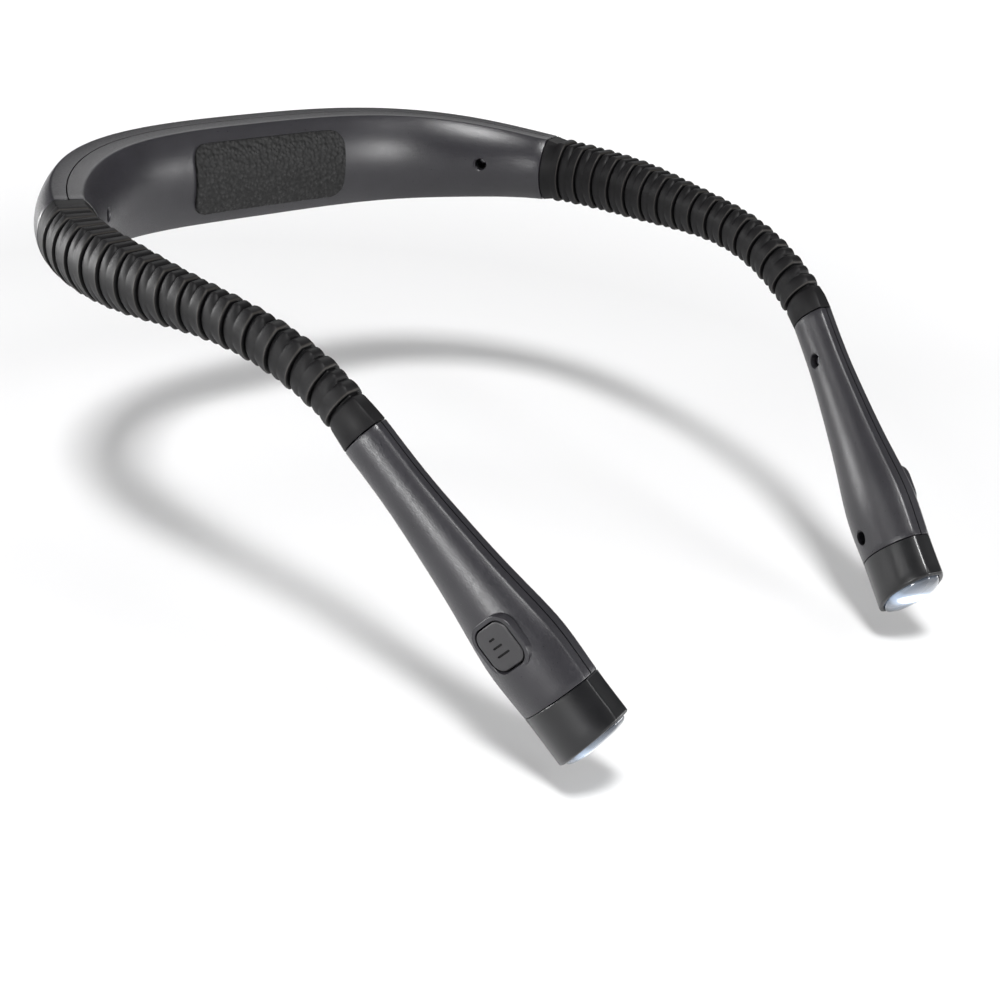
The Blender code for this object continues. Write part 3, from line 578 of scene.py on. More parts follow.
@dataclass
class Route:
    """The right half of the centre line, measured by the distance from the middle of the housing.

    The shares place its keys within the half span, the reach and the drop. Heights, strips and bulges are
    the section's at the housing's middle, at the sleeve's start and end, and at the bezel. Between each two
    of these a taper gives places as shares of the way, with the share of the change that is made there.
    """

    half_span: float = 79.2 * MM
    arm_reach: float = 144.1 * MM
    arm_drop: float = 14.5 * MM
    head_length: float = 62.4 * MM
    bezel_length: float = 9.9 * MM
    head_drop: float = math.radians(41.6)
    head_toe_in: float = math.radians(18.6)
    head_roll: float = math.radians(5.3)
    span_shares: tuple[float, ...] = (0.0, 0.5924, 0.9606, 0.9996, 0.9422, 0.8952, 0.8768)
    reach_shares: tuple[float, ...] = (0.0, 0.0484, 0.2754, 0.6219, 0.8281, 0.9524, 1.0)
    drop_shares: tuple[float, ...] = (0.0, 0.0, 0.0, 0.0, 0.1662, 0.6545, 1.0)
    housing_keys: int = 2
    steps: int = 40
    heights: tuple[float, ...] = (25.8 * MM, 17.4 * MM, 11.5 * MM, 19.7 * MM)
    strips: tuple[float, ...] = (11.0 * MM, 6.9 * MM, 2.9 * MM, 4.0 * MM)
    bulges: tuple[float, ...] = (0.30, 0.46, 0.46, 0.46)
    tapers: tuple[tuple[Place, ...], ...] = (
        ((0.0, 0.0), (0.45, 0.14), (0.75, 0.52), (1.0, 1.0)),
        ((0.0, 0.0), (0.30, 0.35), (0.55, 0.92), (0.80, 1.0), (1.0, 1.0)),
        ((0.0, 0.0), (0.24, 0.06), (0.39, 0.25), (0.55, 0.51), (0.70, 0.85), (0.82, 1.07), (1.0, 1.0)),
    )
    pad_seat: float = 1.7 * MM
    overrun: float = 2.0 * MM

    def __post_init__(self) -> None:
        """Samples the centre line and the taper of the section."""
        level = math.cos(self.head_drop)
        turn, drop = self.head_toe_in, self.head_drop
        self.head_way = np.array((-level * math.sin(turn), -level * math.cos(turn), -math.sin(drop)))
        sizes = np.array((self.half_span, -self.arm_reach, -self.arm_drop))
        keys = np.array(list(zip(self.span_shares, self.reach_shares, self.drop_shares))) * sizes
        knots = np.concatenate(([0], np.cumsum(np.linalg.norm(np.diff(keys, axis=0), axis=1))))
        slopes = self.slopes(knots, keys, (1, 0, 0), self.head_way)
        places = [np.linspace(a, b, self.steps, endpoint=False) for a, b in zip(knots, knots[1:])]
        self.points = self.sample(knots, keys, slopes, np.append(np.concatenate(places), knots[-1]))
        walked = np.linalg.norm(np.diff(self.points, axis=0), axis=1)
        self.lengths = np.concatenate(([0], np.cumsum(walked)))
        self.sleeve_start = float(self.lengths[self.housing_keys * self.steps])
        self.sleeve_end = float(self.lengths[-1])
        self.bezel_start = self.sleeve_end + self.head_length
        self.end = self.bezel_start + self.bezel_length
        depth = self.half_sizes(self.heights[0], self.strips[0], self.bulges[0])[2]
        self.shift = Vector((0, depth + self.pad_seat, 0))
        self.sections = self.section_table()

    @staticmethod
    def slopes(knots: np.ndarray, values: np.ndarray, first: Sequence, last: Sequence) -> np.ndarray:
        """Solves a cubic spline for its slopes.

        Args:
            knots: The places of its knots.
            values: Its values at the knots, one row each.
            first: Its slope at the first knot.
            last: Its slope at the last knot.

        Returns:
            The slopes at all knots, one row each.
        """
        count, gaps = len(knots), np.diff(knots)
        rises = np.diff(values, axis=0) / gaps[:, None]
        system, target = np.zeros((count, count)), np.zeros_like(values)
        system[0, 0] = system[-1, -1] = 1
        target[0], target[-1] = first, last
        for i in range(1, count - 1):
            before, after = gaps[i - 1], gaps[i]
            system[i, i - 1 : i + 2] = after, 2 * (before + after), before
            target[i] = 3 * (after * rises[i - 1] + before * rises[i])
        return np.linalg.solve(system, target)

    @staticmethod
    def sample(knots: np.ndarray, values: np.ndarray, slopes: np.ndarray, places: Sequence) -> np.ndarray:
        """Reads a cubic spline.

        Args:
            knots: The places of its knots.
            values: Its values at the knots.
            slopes: Its slopes at the knots.
            places: Where it is read.

        Returns:
            Its values there, one row each.
        """
        places = np.asarray(places, dtype=float)
        piece = np.clip(np.searchsorted(knots, places, side="right") - 1, 0, len(knots) - 2)
        gap = knots[piece + 1] - knots[piece]
        t = ((places - knots[piece]) / gap)[:, None]
        gap = gap[:, None]
        start = values[piece] * (1 + 2 * t) * (1 - t) ** 2 + slopes[piece] * gap * t * (1 - t) ** 2
        end = values[piece + 1] * t**2 * (3 - 2 * t) + slopes[piece + 1] * gap * t**2 * (t - 1)
        return start + end

    @staticmethod
    def half_sizes(height: float, strip: float, bulge: float) -> Point:
        """Half the height, half the strip and half the depth of a section."""
        return height / 2, strip / 2, (strip + bulge * height) / 2

    def section_table(self) -> tuple[np.ndarray, np.ndarray, np.ndarray]:
        """Half height, half strip and half depth along the route, as a spline.

        Returns:
            The spline's knots, values and slopes.
        """
        marks = (0.0, self.sleeve_start, self.sleeve_end, self.bezel_start)
        ways = list(zip(marks, self.heights, self.strips, self.bulges))
        rows = []
        for (start, *a), (stop, *b), taper in zip(ways, ways[1:], self.tapers):
            for place, weight in taper[:-1]:
                sizes = self.half_sizes(*(p + (q - p) * weight for p, q in zip(a, b)))
                rows.append((start + (stop - start) * place, *sizes))
        sizes = self.half_sizes(self.heights[-1], self.strips[-1], self.bulges[-1])
        rows += [(place, *sizes) for place in (self.bezel_start, self.end + self.overrun)]
        table = np.array(rows)
        flat = np.zeros(3)
        return table[:, 0], table[:, 1:], self.slopes(table[:, 0], table[:, 1:], flat, flat)

    def point(self, place: float) -> np.ndarray:
        """Reads the centre line.

        Args:
            place: The distance from the middle of the housing.

        Returns:
            The point there.
        """
        if place >= self.sleeve_end:
            return self.points[-1] + self.head_way * (place - self.sleeve_end)
        return np.array([np.interp(place, self.lengths, self.points[:, i]) for i in range(3)])

    def station(self, place: float) -> Station:
        """Sets up a station.

        Args:
            place: The distance from the middle of the housing; a negative one lies on the left.

        Returns:
            The station there.
        """
        distance, reach = abs(place), self.lengths[1]
        back, front = self.point(max(distance - reach, 0.0)), self.point(distance + reach)
        along = Vector(front - back) if distance > 0 else Vector((1, 0, 0))
        along.normalize()
        up = Vector((0, 0, 1)) - along * along.z
        up.normalize()
        share = (distance - self.sleeve_start) / (self.sleeve_end - self.sleeve_start)
        up = Matrix.Rotation(-self.head_roll * min(max(share, 0.0), 1.0), 3, along) @ up
        out = up.cross(along)
        point = Vector(self.point(distance))
        if place < 0:
            point.x, up.x, out.x = -point.x, -up.x, -out.x
            along.y, along.z = -along.y, -along.z
        sizes = self.sample(*self.sections, [distance])[0]
        return Station(point + self.shift, along, up, out, *map(float, sizes))

    def sleeve(self, share: float) -> float:
        """The distance at a share of the sleeve."""
        return self.sleeve_start + (self.sleeve_end - self.sleeve_start) * share

    def head(self, share: float) -> float:
        """The distance at a share of the head."""
        return self.sleeve_end + self.head_length * share


@dataclass(frozen=True)
class Section:
    """The lamp's section: two bulged faces between narrow strips, with softened creases."""

    ease: float = 0.45 * MM
    face_points: int = 15
    crease_points: int = 4

    def face(self, station: Station, sink: float = 0.0, strip_sink: float | None = None) -> list[Place]:
        """The outer face from the middle of the top strip to the middle of the bottom one.

        Args:
            station: Where the section is taken.
            sink: How far the face lies inside the section.
            strip_sink: The same for the strips, where it differs.

        Returns:
            The (out, up) places.
        """
        strip_sink = sink if strip_sink is None else strip_sink
        strip = max(station.half_strip - sink / 2, station.half_strip / 2)
        height, depth = station.half_height - strip_sink, station.half_depth - sink
        bulge = depth - strip
        radius = (height**2 + bulge**2) / (2 * bulge)
        spread = math.asin(min(height / radius, 1))
        turns = [spread * (1 - 2 * i / (self.face_points - 1)) for i in range(self.face_points)]
        arc = [(depth - radius + radius * math.cos(t), radius * math.sin(t)) for t in turns]
        top = self.softened(arc[0], (0.0, height), arc[1])
        bottom = self.softened(arc[-1], arc[-2], (0.0, -height))
        return [(0.0, height), *top, *arc[1:-1], *bottom, (0.0, -height)]

    def softened(self, corner: Place, before: Place, after: Place) -> list[Place]:
        """Rounds a crease.

        Args:
            corner: The crease's own place.
            before: A place on the line before it.
            after: A place on the line after it.

        Returns:
            The places along the small curve that takes its stead.
        """
        middle = Vector(corner)
        start = middle + (Vector(before) - middle).normalized() * self.ease
        end = middle + (Vector(after) - middle).normalized() * self.ease
        places = []
        for i in range(self.crease_points):
            t = i / (self.crease_points - 1)
            point = start * (1 - t) ** 2 + middle * 2 * t * (1 - t) + end * t**2
            places.append((point.x, point.y))
        return places

    def whole(self, station: Station, sink: float = 0.0, strip_sink: float | None = None) -> list[Place]:
        """The whole outline, from the top strip's middle round the outer face and up the inner one."""
        outer = self.face(station, sink, strip_sink)
        return outer + [(-out, up) for out, up in reversed(outer[1:-1])]

    def half(self, station: Station, shell: Shell, gap: float) -> list[Place]:
        """One shell's half of the outline, closed along the parting line.

        Args:
            station: Where the section is taken.
            shell: Which half it is.
            gap: How far the parting line lies from the middle plane.

        Returns:
            The (out, up) places.
        """
        outer = self.face(station)
        places = [(gap, outer[0][1]), *outer[1:-1], (gap, outer[-1][1])]
        return [(out * shell.value, up) for out, up in places]

    @property
    def count(self) -> int:
        """How many points a whole outline has."""
        return 2 * (self.face_points + 2 * self.crease_points) - 2


def circle(radius: float, sides: int) -> list[Place]:
    """A circle's (out, up) places, clockwise from the top."""
    turns = [2 * math.pi * i / sides for i in range(sides)]
    return [(radius * math.sin(t), radius * math.cos(t)) for t in turns]


def rounded_square(side: float, corner: float, points: int = 7) -> list[Place]:
    """A square with round corners.

    Args:
        side: Its side.
        corner: The radius of its corners.
        points: How many points each corner has.

    Returns:
        Its (ahead, up) places.
    """
    places, straight = [], side / 2 - corner
    for quarter, (x, y) in enumerate(((1, 1), (-1, 1), (-1, -1), (1, -1))):
        for i in range(points):
            turn = math.pi / 2 * (quarter + i / (points - 1))
            places.append((x * straight + corner * math.cos(turn), y * straight + corner * math.sin(turn)))
    return places


def evenly(start: float, stop: float, count: int) -> list[float]:
    """Values spread evenly from start to stop, with both."""
    return [start + (stop - start) * i / (count - 1) for i in range(count)]


# Making meshes


class Sweep:
    """A skin that is extruded ring by ring and keeps the rows of its vertices."""

    def __init__(self, first: Sequence[Vector], carried: str = "carried") -> None:
        """Starts with one ring.

        Args:
            first: The points of the first ring.
            carried: The name of the value that each row may carry for its finish.
        """
        self.bm = bmesh.new()
        self.layer = self.bm.verts.layers.float.new(carried)
        made = bmesh.ops.create_circle(self.bm, segments=len(first), radius=1.0)
        self.rows: list[list[Vert]] = [list(made["verts"])]
        self.settle(first)

    def settle(self, ring: Sequence[Vector]) -> None:
        """Puts the last row on the points of a ring."""
        for vert, point in zip(self.rows[-1], ring):
            vert.co = point

    def edges(self, row: Sequence[Vert]) -> list[Edge]:
        """The edges round a row."""
        return [self.bm.edges.get((a, b)) for a, b in zip(row, [*row[1:], row[0]])]

    def extrude(self, ring: Sequence[Vector]) -> Sweep:
        """Extrudes the last row.

        Args:
            ring: The points of the next ring.

        Returns:
            The sweep itself.
        """
        made = bmesh.ops.extrude_edge_only(self.bm, edges=self.edges(self.rows[-1]))
        new = {item for item in made["geom"] if isinstance(item, Vert)}
        ends = [[edge.other_vert(vert) for edge in vert.link_edges] for vert in self.rows[-1]]
        self.rows.append([next(end for end in found if end in new) for found in ends])
        self.settle(ring)
        return self

    def run(self, rings: Iterable[Sequence[Vector]]) -> Sweep:
        """Extrudes through every ring in turn.

        Args:
            rings: The points of each ring.

        Returns:
            The sweep itself.
        """
        for ring in rings:
            self.extrude(ring)
        return self

    def cap(self, row: int) -> Sweep:
        """Fills a row with one face."""
        bmesh.ops.contextual_create(self.bm, geom=self.edges(self.rows[row]))
        return self

    def capped(self) -> BMesh:
        """Fills both ends and hands over the mesh."""
        return self.cap(0).cap(-1).bm

    def joined(self) -> BMesh:
        """Joins the last row to the first and hands over the mesh."""
        bmesh.ops.bridge_loops(self.bm, edges=self.edges(self.rows[0]) + self.edges(self.rows[-1]))
        return self.bm

    def carry(self, values: Sequence[float]) -> None:
        """Gives each row a value that its finish reads.

        Args:
            values: One value for each row.
        """
        for row, value in zip(self.rows, values):
            for vert in row:
                vert[self.layer] = value


def swept(rings: Sequence[Sequence[Vector]]) -> BMesh:
    """A closed solid through rings of points."""
    return Sweep(rings[0]).run(rings[1:]).capped()


class Workbench:
    """Turns meshes into pieces: mirrors, carves, dresses and fastens them."""

    sharp_angle: float = math.radians(34)
    merge_reach: float = 0.0005 * MM

    def __init__(self) -> None:
        """Starts with an empty finish rack and no piece made."""
        self.rack = FinishRack()
        self.pieces = 0

    def object(self, name: str, bm: BMesh) -> Object:
        """Makes an object of a mesh, its faces outwards.

        Args:
            name: The object's name.
            bm: Its mesh, which is used up.

        Returns:
            The new object.
        """
        bmesh.ops.recalc_face_normals(bm, faces=bm.faces)
        mesh = bpy.data.meshes.new(name)
        bm.to_mesh(mesh)
        bm.free()
        made = bpy.data.objects.new(name, mesh)
        bpy.context.scene.collection.objects.link(made)
        return made

    def carve(self, piece: Object, operation: str, *tools: BMesh) -> None:
        """Cuts tools out of a piece or joins them to it.

        Args:
            piece: What is carved.
            operation: DIFFERENCE or UNION.
            tools: The meshes that carve it, which are used up.
        """
        for bm in tools:
            tool = self.object("tool", bm)
            modifier = piece.modifiers.new("carve", "BOOLEAN")
            modifier.operation, modifier.solver, modifier.object = operation, "EXACT", tool
            graph = bpy.context.evaluated_depsgraph_get()
            old, piece_mesh = piece.data, bpy.data.meshes.new_from_object(piece.evaluated_get(graph))
            piece.modifiers.clear()
            piece.data = piece_mesh
            bpy.data.meshes.remove(old)
            bpy.data.meshes.remove(tool.data)

    def fasten(
        self,
        piece: Object,
        finish: Finish,
        stands_for: Sequence[str],
        bodies: str | Bend,
        side: Side = Side.RIGHT,
    ) -> Object:
        """Dresses a piece, mirrors it where it is on the left, and fastens it to its body when it is given
        one.

        Args:
            piece: The right side's piece.
            finish: Its finish.
            stands_for: The CAD nodes that it replaces.
            bodies: The body that it rides on. For a piece between two bodies, the bodies and the bend's ends
                are not used, and only its transform is baked.
            side: The side that it is for.

        Returns:
            The piece.
        """
        bm = bmesh.new()
        bm.from_mesh(piece.data)
        bmesh.ops.remove_doubles(bm, verts=bm.verts, dist=self.merge_reach)
        if side is Side.LEFT:
            bmesh.ops.scale(bm, vec=(-1, 1, 1), verts=bm.verts)
            bmesh.ops.reverse_faces(bm, faces=bm.faces)
        bm.to_mesh(piece.data)
        bm.free()
        piece.data.shade_smooth()
        piece.data.set_sharp_from_angle(angle=self.sharp_angle)
        piece.data.materials.clear()
        piece.data.materials.append(self.rack.get(finish))
        if isinstance(bodies, str):
            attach(piece, bodies)
        else:
            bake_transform(piece)
        if stands_for:
            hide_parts(*stands_for)
        self.pieces += 1
        LOG.info("%s: %d faces, %s", piece.name, len(piece.data.polygons), finish.name)
        return piece


def across(station: Station, profile: Sequence[Place], up: float = 0.0, sides: int = 32) -> BMesh:
    """A piece turned about the outward direction.

    Args:
        station: Where it stands.
        profile: Its (out, radius) places.
        up: How far above the centre line its axis lies.
        sides: How many sides it has.

    Returns:
        The closed mesh.
    """
    rounds = [(out, circle(radius, sides)) for out, radius in profile]
    return swept([[station.at(a, out, up + b) for a, b in places] for out, places in rounds])


def square_prism(station: Station, steps: Sequence[tuple[float, float, float]]) -> BMesh:
    """A rounded square run outwards, from (out, side, corner) steps."""
    squares = [(out, rounded_square(side, corner)) for out, side, corner in steps]
    return swept([[station.at(a, out, b) for a, b in places] for out, places in squares])


def eased(
    top: float, side: float, corner: float, ease: float, shares: Sequence[Point]
) -> list[tuple[float, float, float]]:
    """The eased edge of a rounded square that faces outwards.

    Args:
        top: How far outwards its face lies.
        side: Its side below the edge.
        corner: The radius of its corners there.
        ease: The size of the edge.
        shares: What share of the ease each step lies below the face and takes off the side and the corner.

    Returns:
        The (out, side, corner) steps.
    """
    return [(top - ease * a, side - ease * b, corner - ease * c) for a, b, c in shares]


@dataclass(frozen=True)
class ScrewPost:
    """A screw's post, counterbore and pilot hole, across both shells.

    The pan gives the screw's head as shares of its height, from its seat, and of its radius.
    """

    shank: float = 0.7 * MM
    head: float = 1.2 * MM
    head_height: float = 1.0 * MM
    pan: tuple[Place, ...] = ((0.0, 1.0), (0.45, 1.0), (0.75, 0.93), (0.95, 0.78), (1.0, 0.62))
    drive: float = 0.5 * MM
    drive_depth: float = 0.6 * MM
    clearance: float = 0.15 * MM
    seat: float = 1.5 * MM
    wall: float = 0.75 * MM
    well_gap: float = 0.45 * MM
    dish: float = 0.35 * MM
    dish_depth: float = 0.3 * MM
    mouth_flare: float = 1.4

    def carve(self, maker: ShellMaker, shells: dict[Shell, Object], station: Station, drop: float) -> None:
        """Builds the posts into both shells and opens the screw's passage.

        Args:
            maker: The maker of the shells, with their wall and their parting gap.
            shells: The two shells.
            station: Where the screw stands.
            drop: How far below the centre line it lies.
        """
        bore, well = self.shank + self.clearance, self.head + self.well_gap
        post, wide, skin, past = well + self.wall, well + self.dish, maker.wall, maker.overrun
        reach, face = station.face(drop + post) - skin / 2, station.face(drop)
        root, mouth = station.half_depth - skin / 2, station.half_depth + past
        countersink = (
            (-self.seat, well),
            (self.dish_depth - face, well),
            (-face, wide),
            (-mouth, wide * self.mouth_flare),
        )
        cuts = (
            (Shell.OUTER, "UNION", ((maker.parting, post), (reach, post))),
            (Shell.OUTER, "DIFFERENCE", ((-past, bore), (root - skin / 2, bore))),
            (Shell.INNER, "UNION", ((-reach, post), (-maker.parting, post))),
            (Shell.INNER, "DIFFERENCE", countersink),
            (Shell.INNER, "DIFFERENCE", ((-root, bore), (past, bore))),
        )
        for shell, operation, profile in cuts:
            maker.bench.carve(shells[shell], operation, across(station, profile, -drop))

    def screw(self, station: Station, drop: float, tip: float) -> BMesh:
        """A pan head screw with a round drive socket.

        Args:
            station: Where the screw stands.
            drop: How far below the centre line it lies.
            tip: How far outwards its point reaches.

        Returns:
            The closed mesh.
        """
        seat = -self.seat - self.clearance / 2
        top = seat - self.head_height
        profile = (
            (tip, self.shank / 2),
            (tip - self.shank, self.shank),
            (seat, self.shank),
            *((seat - self.head_height * rise, self.head * share) for rise, share in self.pan),
            (top, self.drive),
            (top + self.drive_depth, self.drive),
        )
        return across(station, profile, -drop)


@dataclass
class Maker:
    """What the maker of a sub-assembly works with."""

    route: Route
    bench: Workbench
    looks: Wardrobe
    side: Side = Side.RIGHT

    def node(self, name: str) -> str:
        """A name with its side before it."""
        return f"{self.side.word}_{name}"


@dataclass
class ShellMaker(Maker):
    """The maker of a hollow sub-assembly of two shells: the housing or a head."""

    wall: float = 1.5 * MM
    end_wall: float = 2.0 * MM
    parting: float = 0.15 * MM
    overrun: float = 2.0 * MM
    end_ease: float = 0.25 * MM
    screw_tip: float = 2.0 * MM
    section: Section = Section()
    post: ScrewPost = ScrewPost()

    def half(self, name: str, shell: Shell, places: Sequence[float]) -> Object:
        """One shell, still solid, with eased rims.

        Args:
            name: The piece's name.
            shell: Which half it is.
            places: The distances along the route of its sections.

        Returns:
            The new object.
        """
        stations = [self.route.station(place) for place in places]
        rings = [station.ring(self.section.half(station, shell, self.parting)) for station in stations]
        sweep = Sweep(rings[0]).run(rings[1:])
        sweep.capped()
        rims = sweep.edges(sweep.rows[0]) + sweep.edges(sweep.rows[-1])
        bmesh.ops.bevel(
            sweep.bm, geom=rims, affect="EDGES", offset=self.end_ease, segments=2, profile=0.5, material=-1
        )
        return self.bench.object(name, sweep.bm)

    def cavity(self, places: Sequence[float]) -> BMesh:
        """The space inside the walls.

        Args:
            places: The distances along the route of its sections.

        Returns:
            The closed mesh.
        """
        stations = [self.route.station(place) for place in places]
        return swept([station.ring(self.section.whole(station, self.wall)) for station in stations])

    def fit_screw(self, shells: dict[Shell, Object], place: float, drop: float) -> BMesh:
        """Builds a screw's post into the shells.

        Args:
            shells: The two shells.
            place: The screw's distance along the route.
            drop: How far below the centre line it lies.

        Returns:
            The screw's closed mesh.
        """
        station = self.route.station(place)
        self.post.carve(self, shells, station, drop)
        return self.post.screw(station, drop, station.half_depth - self.screw_tip)


@dataclass
class RearHousing(ShellMaker):
    """The curved housing on the nape: two shells, their screws and the charging slot."""

    stations: int = 61
    cavity_stations: int = 31
    screw_share: float = 0.785
    socket_place: float = 44.0 * MM
    socket_width: float = 9.6 * MM
    socket_depth: float = 3.8 * MM
    socket_corner: float = 0.42
    socket_reach: float = 8.1 * MM

    def build(self) -> None:
        """Makes the shells, carves them and adds the screws."""
        stop = self.route.sleeve_start
        solid = evenly(-stop, stop, self.stations)
        hollow = evenly(self.end_wall - stop, stop - self.end_wall, self.cavity_stations)
        shells = {shell: self.half(f"housing_{shell.name.lower()}_skin", shell, solid) for shell in Shell}
        for shell in shells.values():
            self.bench.carve(shell, "DIFFERENCE", self.cavity(hollow), self.socket_slot())
        for side in Side:
            name = f"{side.word}_housing_screw"
            mesh = self.fit_screw(shells, stop * self.screw_share * side.value, 0.0)
            self.bench.fasten(self.bench.object(f"{name}_fine", mesh), self.looks.steel, [name], "housing")
        for shell, piece in shells.items():
            self.bench.fasten(piece, self.looks.shell, [f"housing_{shell.name.lower()}_shell"], "housing")

    def socket_slot(self) -> BMesh:
        """The opening for the charging socket, up through the bottom strip.

        Returns:
            The closed mesh.
        """
        station = self.route.station(self.socket_place)
        square = rounded_square(1.0, self.socket_corner)
        places = [(a * self.socket_width, b * self.socket_depth) for a, b in square]
        ups = (-station.half_height - self.overrun, self.socket_reach - station.half_height)
        return swept([[station.at(ahead, out, up) for ahead, out in places] for up in ups])


@dataclass
class NapePad(Maker):
    """The pebbled pad on the housing's inner face."""

    length: float = 50.6 * MM
    height: float = 19.0 * MM
    thickness: float = 0.8 * MM
    corner: float = 4.4 * MM
    rim: float = 0.3 * MM
    rim_angle: float = math.radians(60)
    seat_gap: float = 0.1 * MM
    cells: tuple[int, int] = (50, 18)

    def build(self) -> None:
        """Makes the flat pad, rounds its corners and its rim, and bends it onto the housing."""
        bm = bmesh.new()
        bmesh.ops.create_grid(bm, x_segments=self.cells[0], y_segments=self.cells[1], size=0.5)
        bmesh.ops.scale(bm, vec=(self.length, self.height, 1), verts=bm.verts)
        for vert in bm.verts:
            self.round_corner(vert)
        made = bmesh.ops.extrude_face_region(bm, geom=list(bm.faces), use_keep_orig=True)
        top = [item for item in made["geom"] if isinstance(item, Vert)]
        bmesh.ops.translate(bm, vec=(0, 0, self.thickness), verts=top)
        bmesh.ops.recalc_face_normals(bm, faces=bm.faces)
        rims = [e for e in bm.edges if e.calc_face_angle(0) > self.rim_angle and e.verts[0].co.z > self.rim]
        bmesh.ops.bevel(bm, geom=rims, affect="EDGES", offset=self.rim, segments=3, profile=0.5, material=-1)
        for vert in bm.verts:
            self.bend(vert)
        pad = self.bench.object("pebbled_nape_pad", bm)
        self.bench.fasten(pad, self.looks.pad, ["nape_pad"], "housing")

    def round_corner(self, vert: Vert) -> None:
        """Draws a corner's square of the flat pad in to a quarter disc.

        Args:
            vert: A point of the flat pad, which is moved if it lies in a corner.
        """
        x, y = vert.co.x, vert.co.y
        straight_x, straight_y = self.length / 2 - self.corner, self.height / 2 - self.corner
        a, b = abs(x) - straight_x, abs(y) - straight_y
        if a > 0 and b > 0:
            pull = max(a, b) / math.hypot(a, b)
            vert.co.x = math.copysign(straight_x + a * pull, x)
            vert.co.y = math.copysign(straight_y + b * pull, y)

    def bend(self, vert: Vert) -> None:
        """Lays a point of the flat pad on the housing's inner face.

        Args:
            vert: The point, which is moved.
        """
        along, rise, lift = vert.co
        station = self.route.station(along)
        vert.co = station.at(out=-(station.face(rise) + self.seat_gap + lift), up=rise)


@dataclass(frozen=True)
class RibStep:
    """One ring of a rib: its place in the pitch, how deep its faces and strips lie, and its painted light,
    from painted shade at 0 to a painted highlight at 1.
    """

    share: float
    face_depth: float
    strip_depth: float
    tone: float


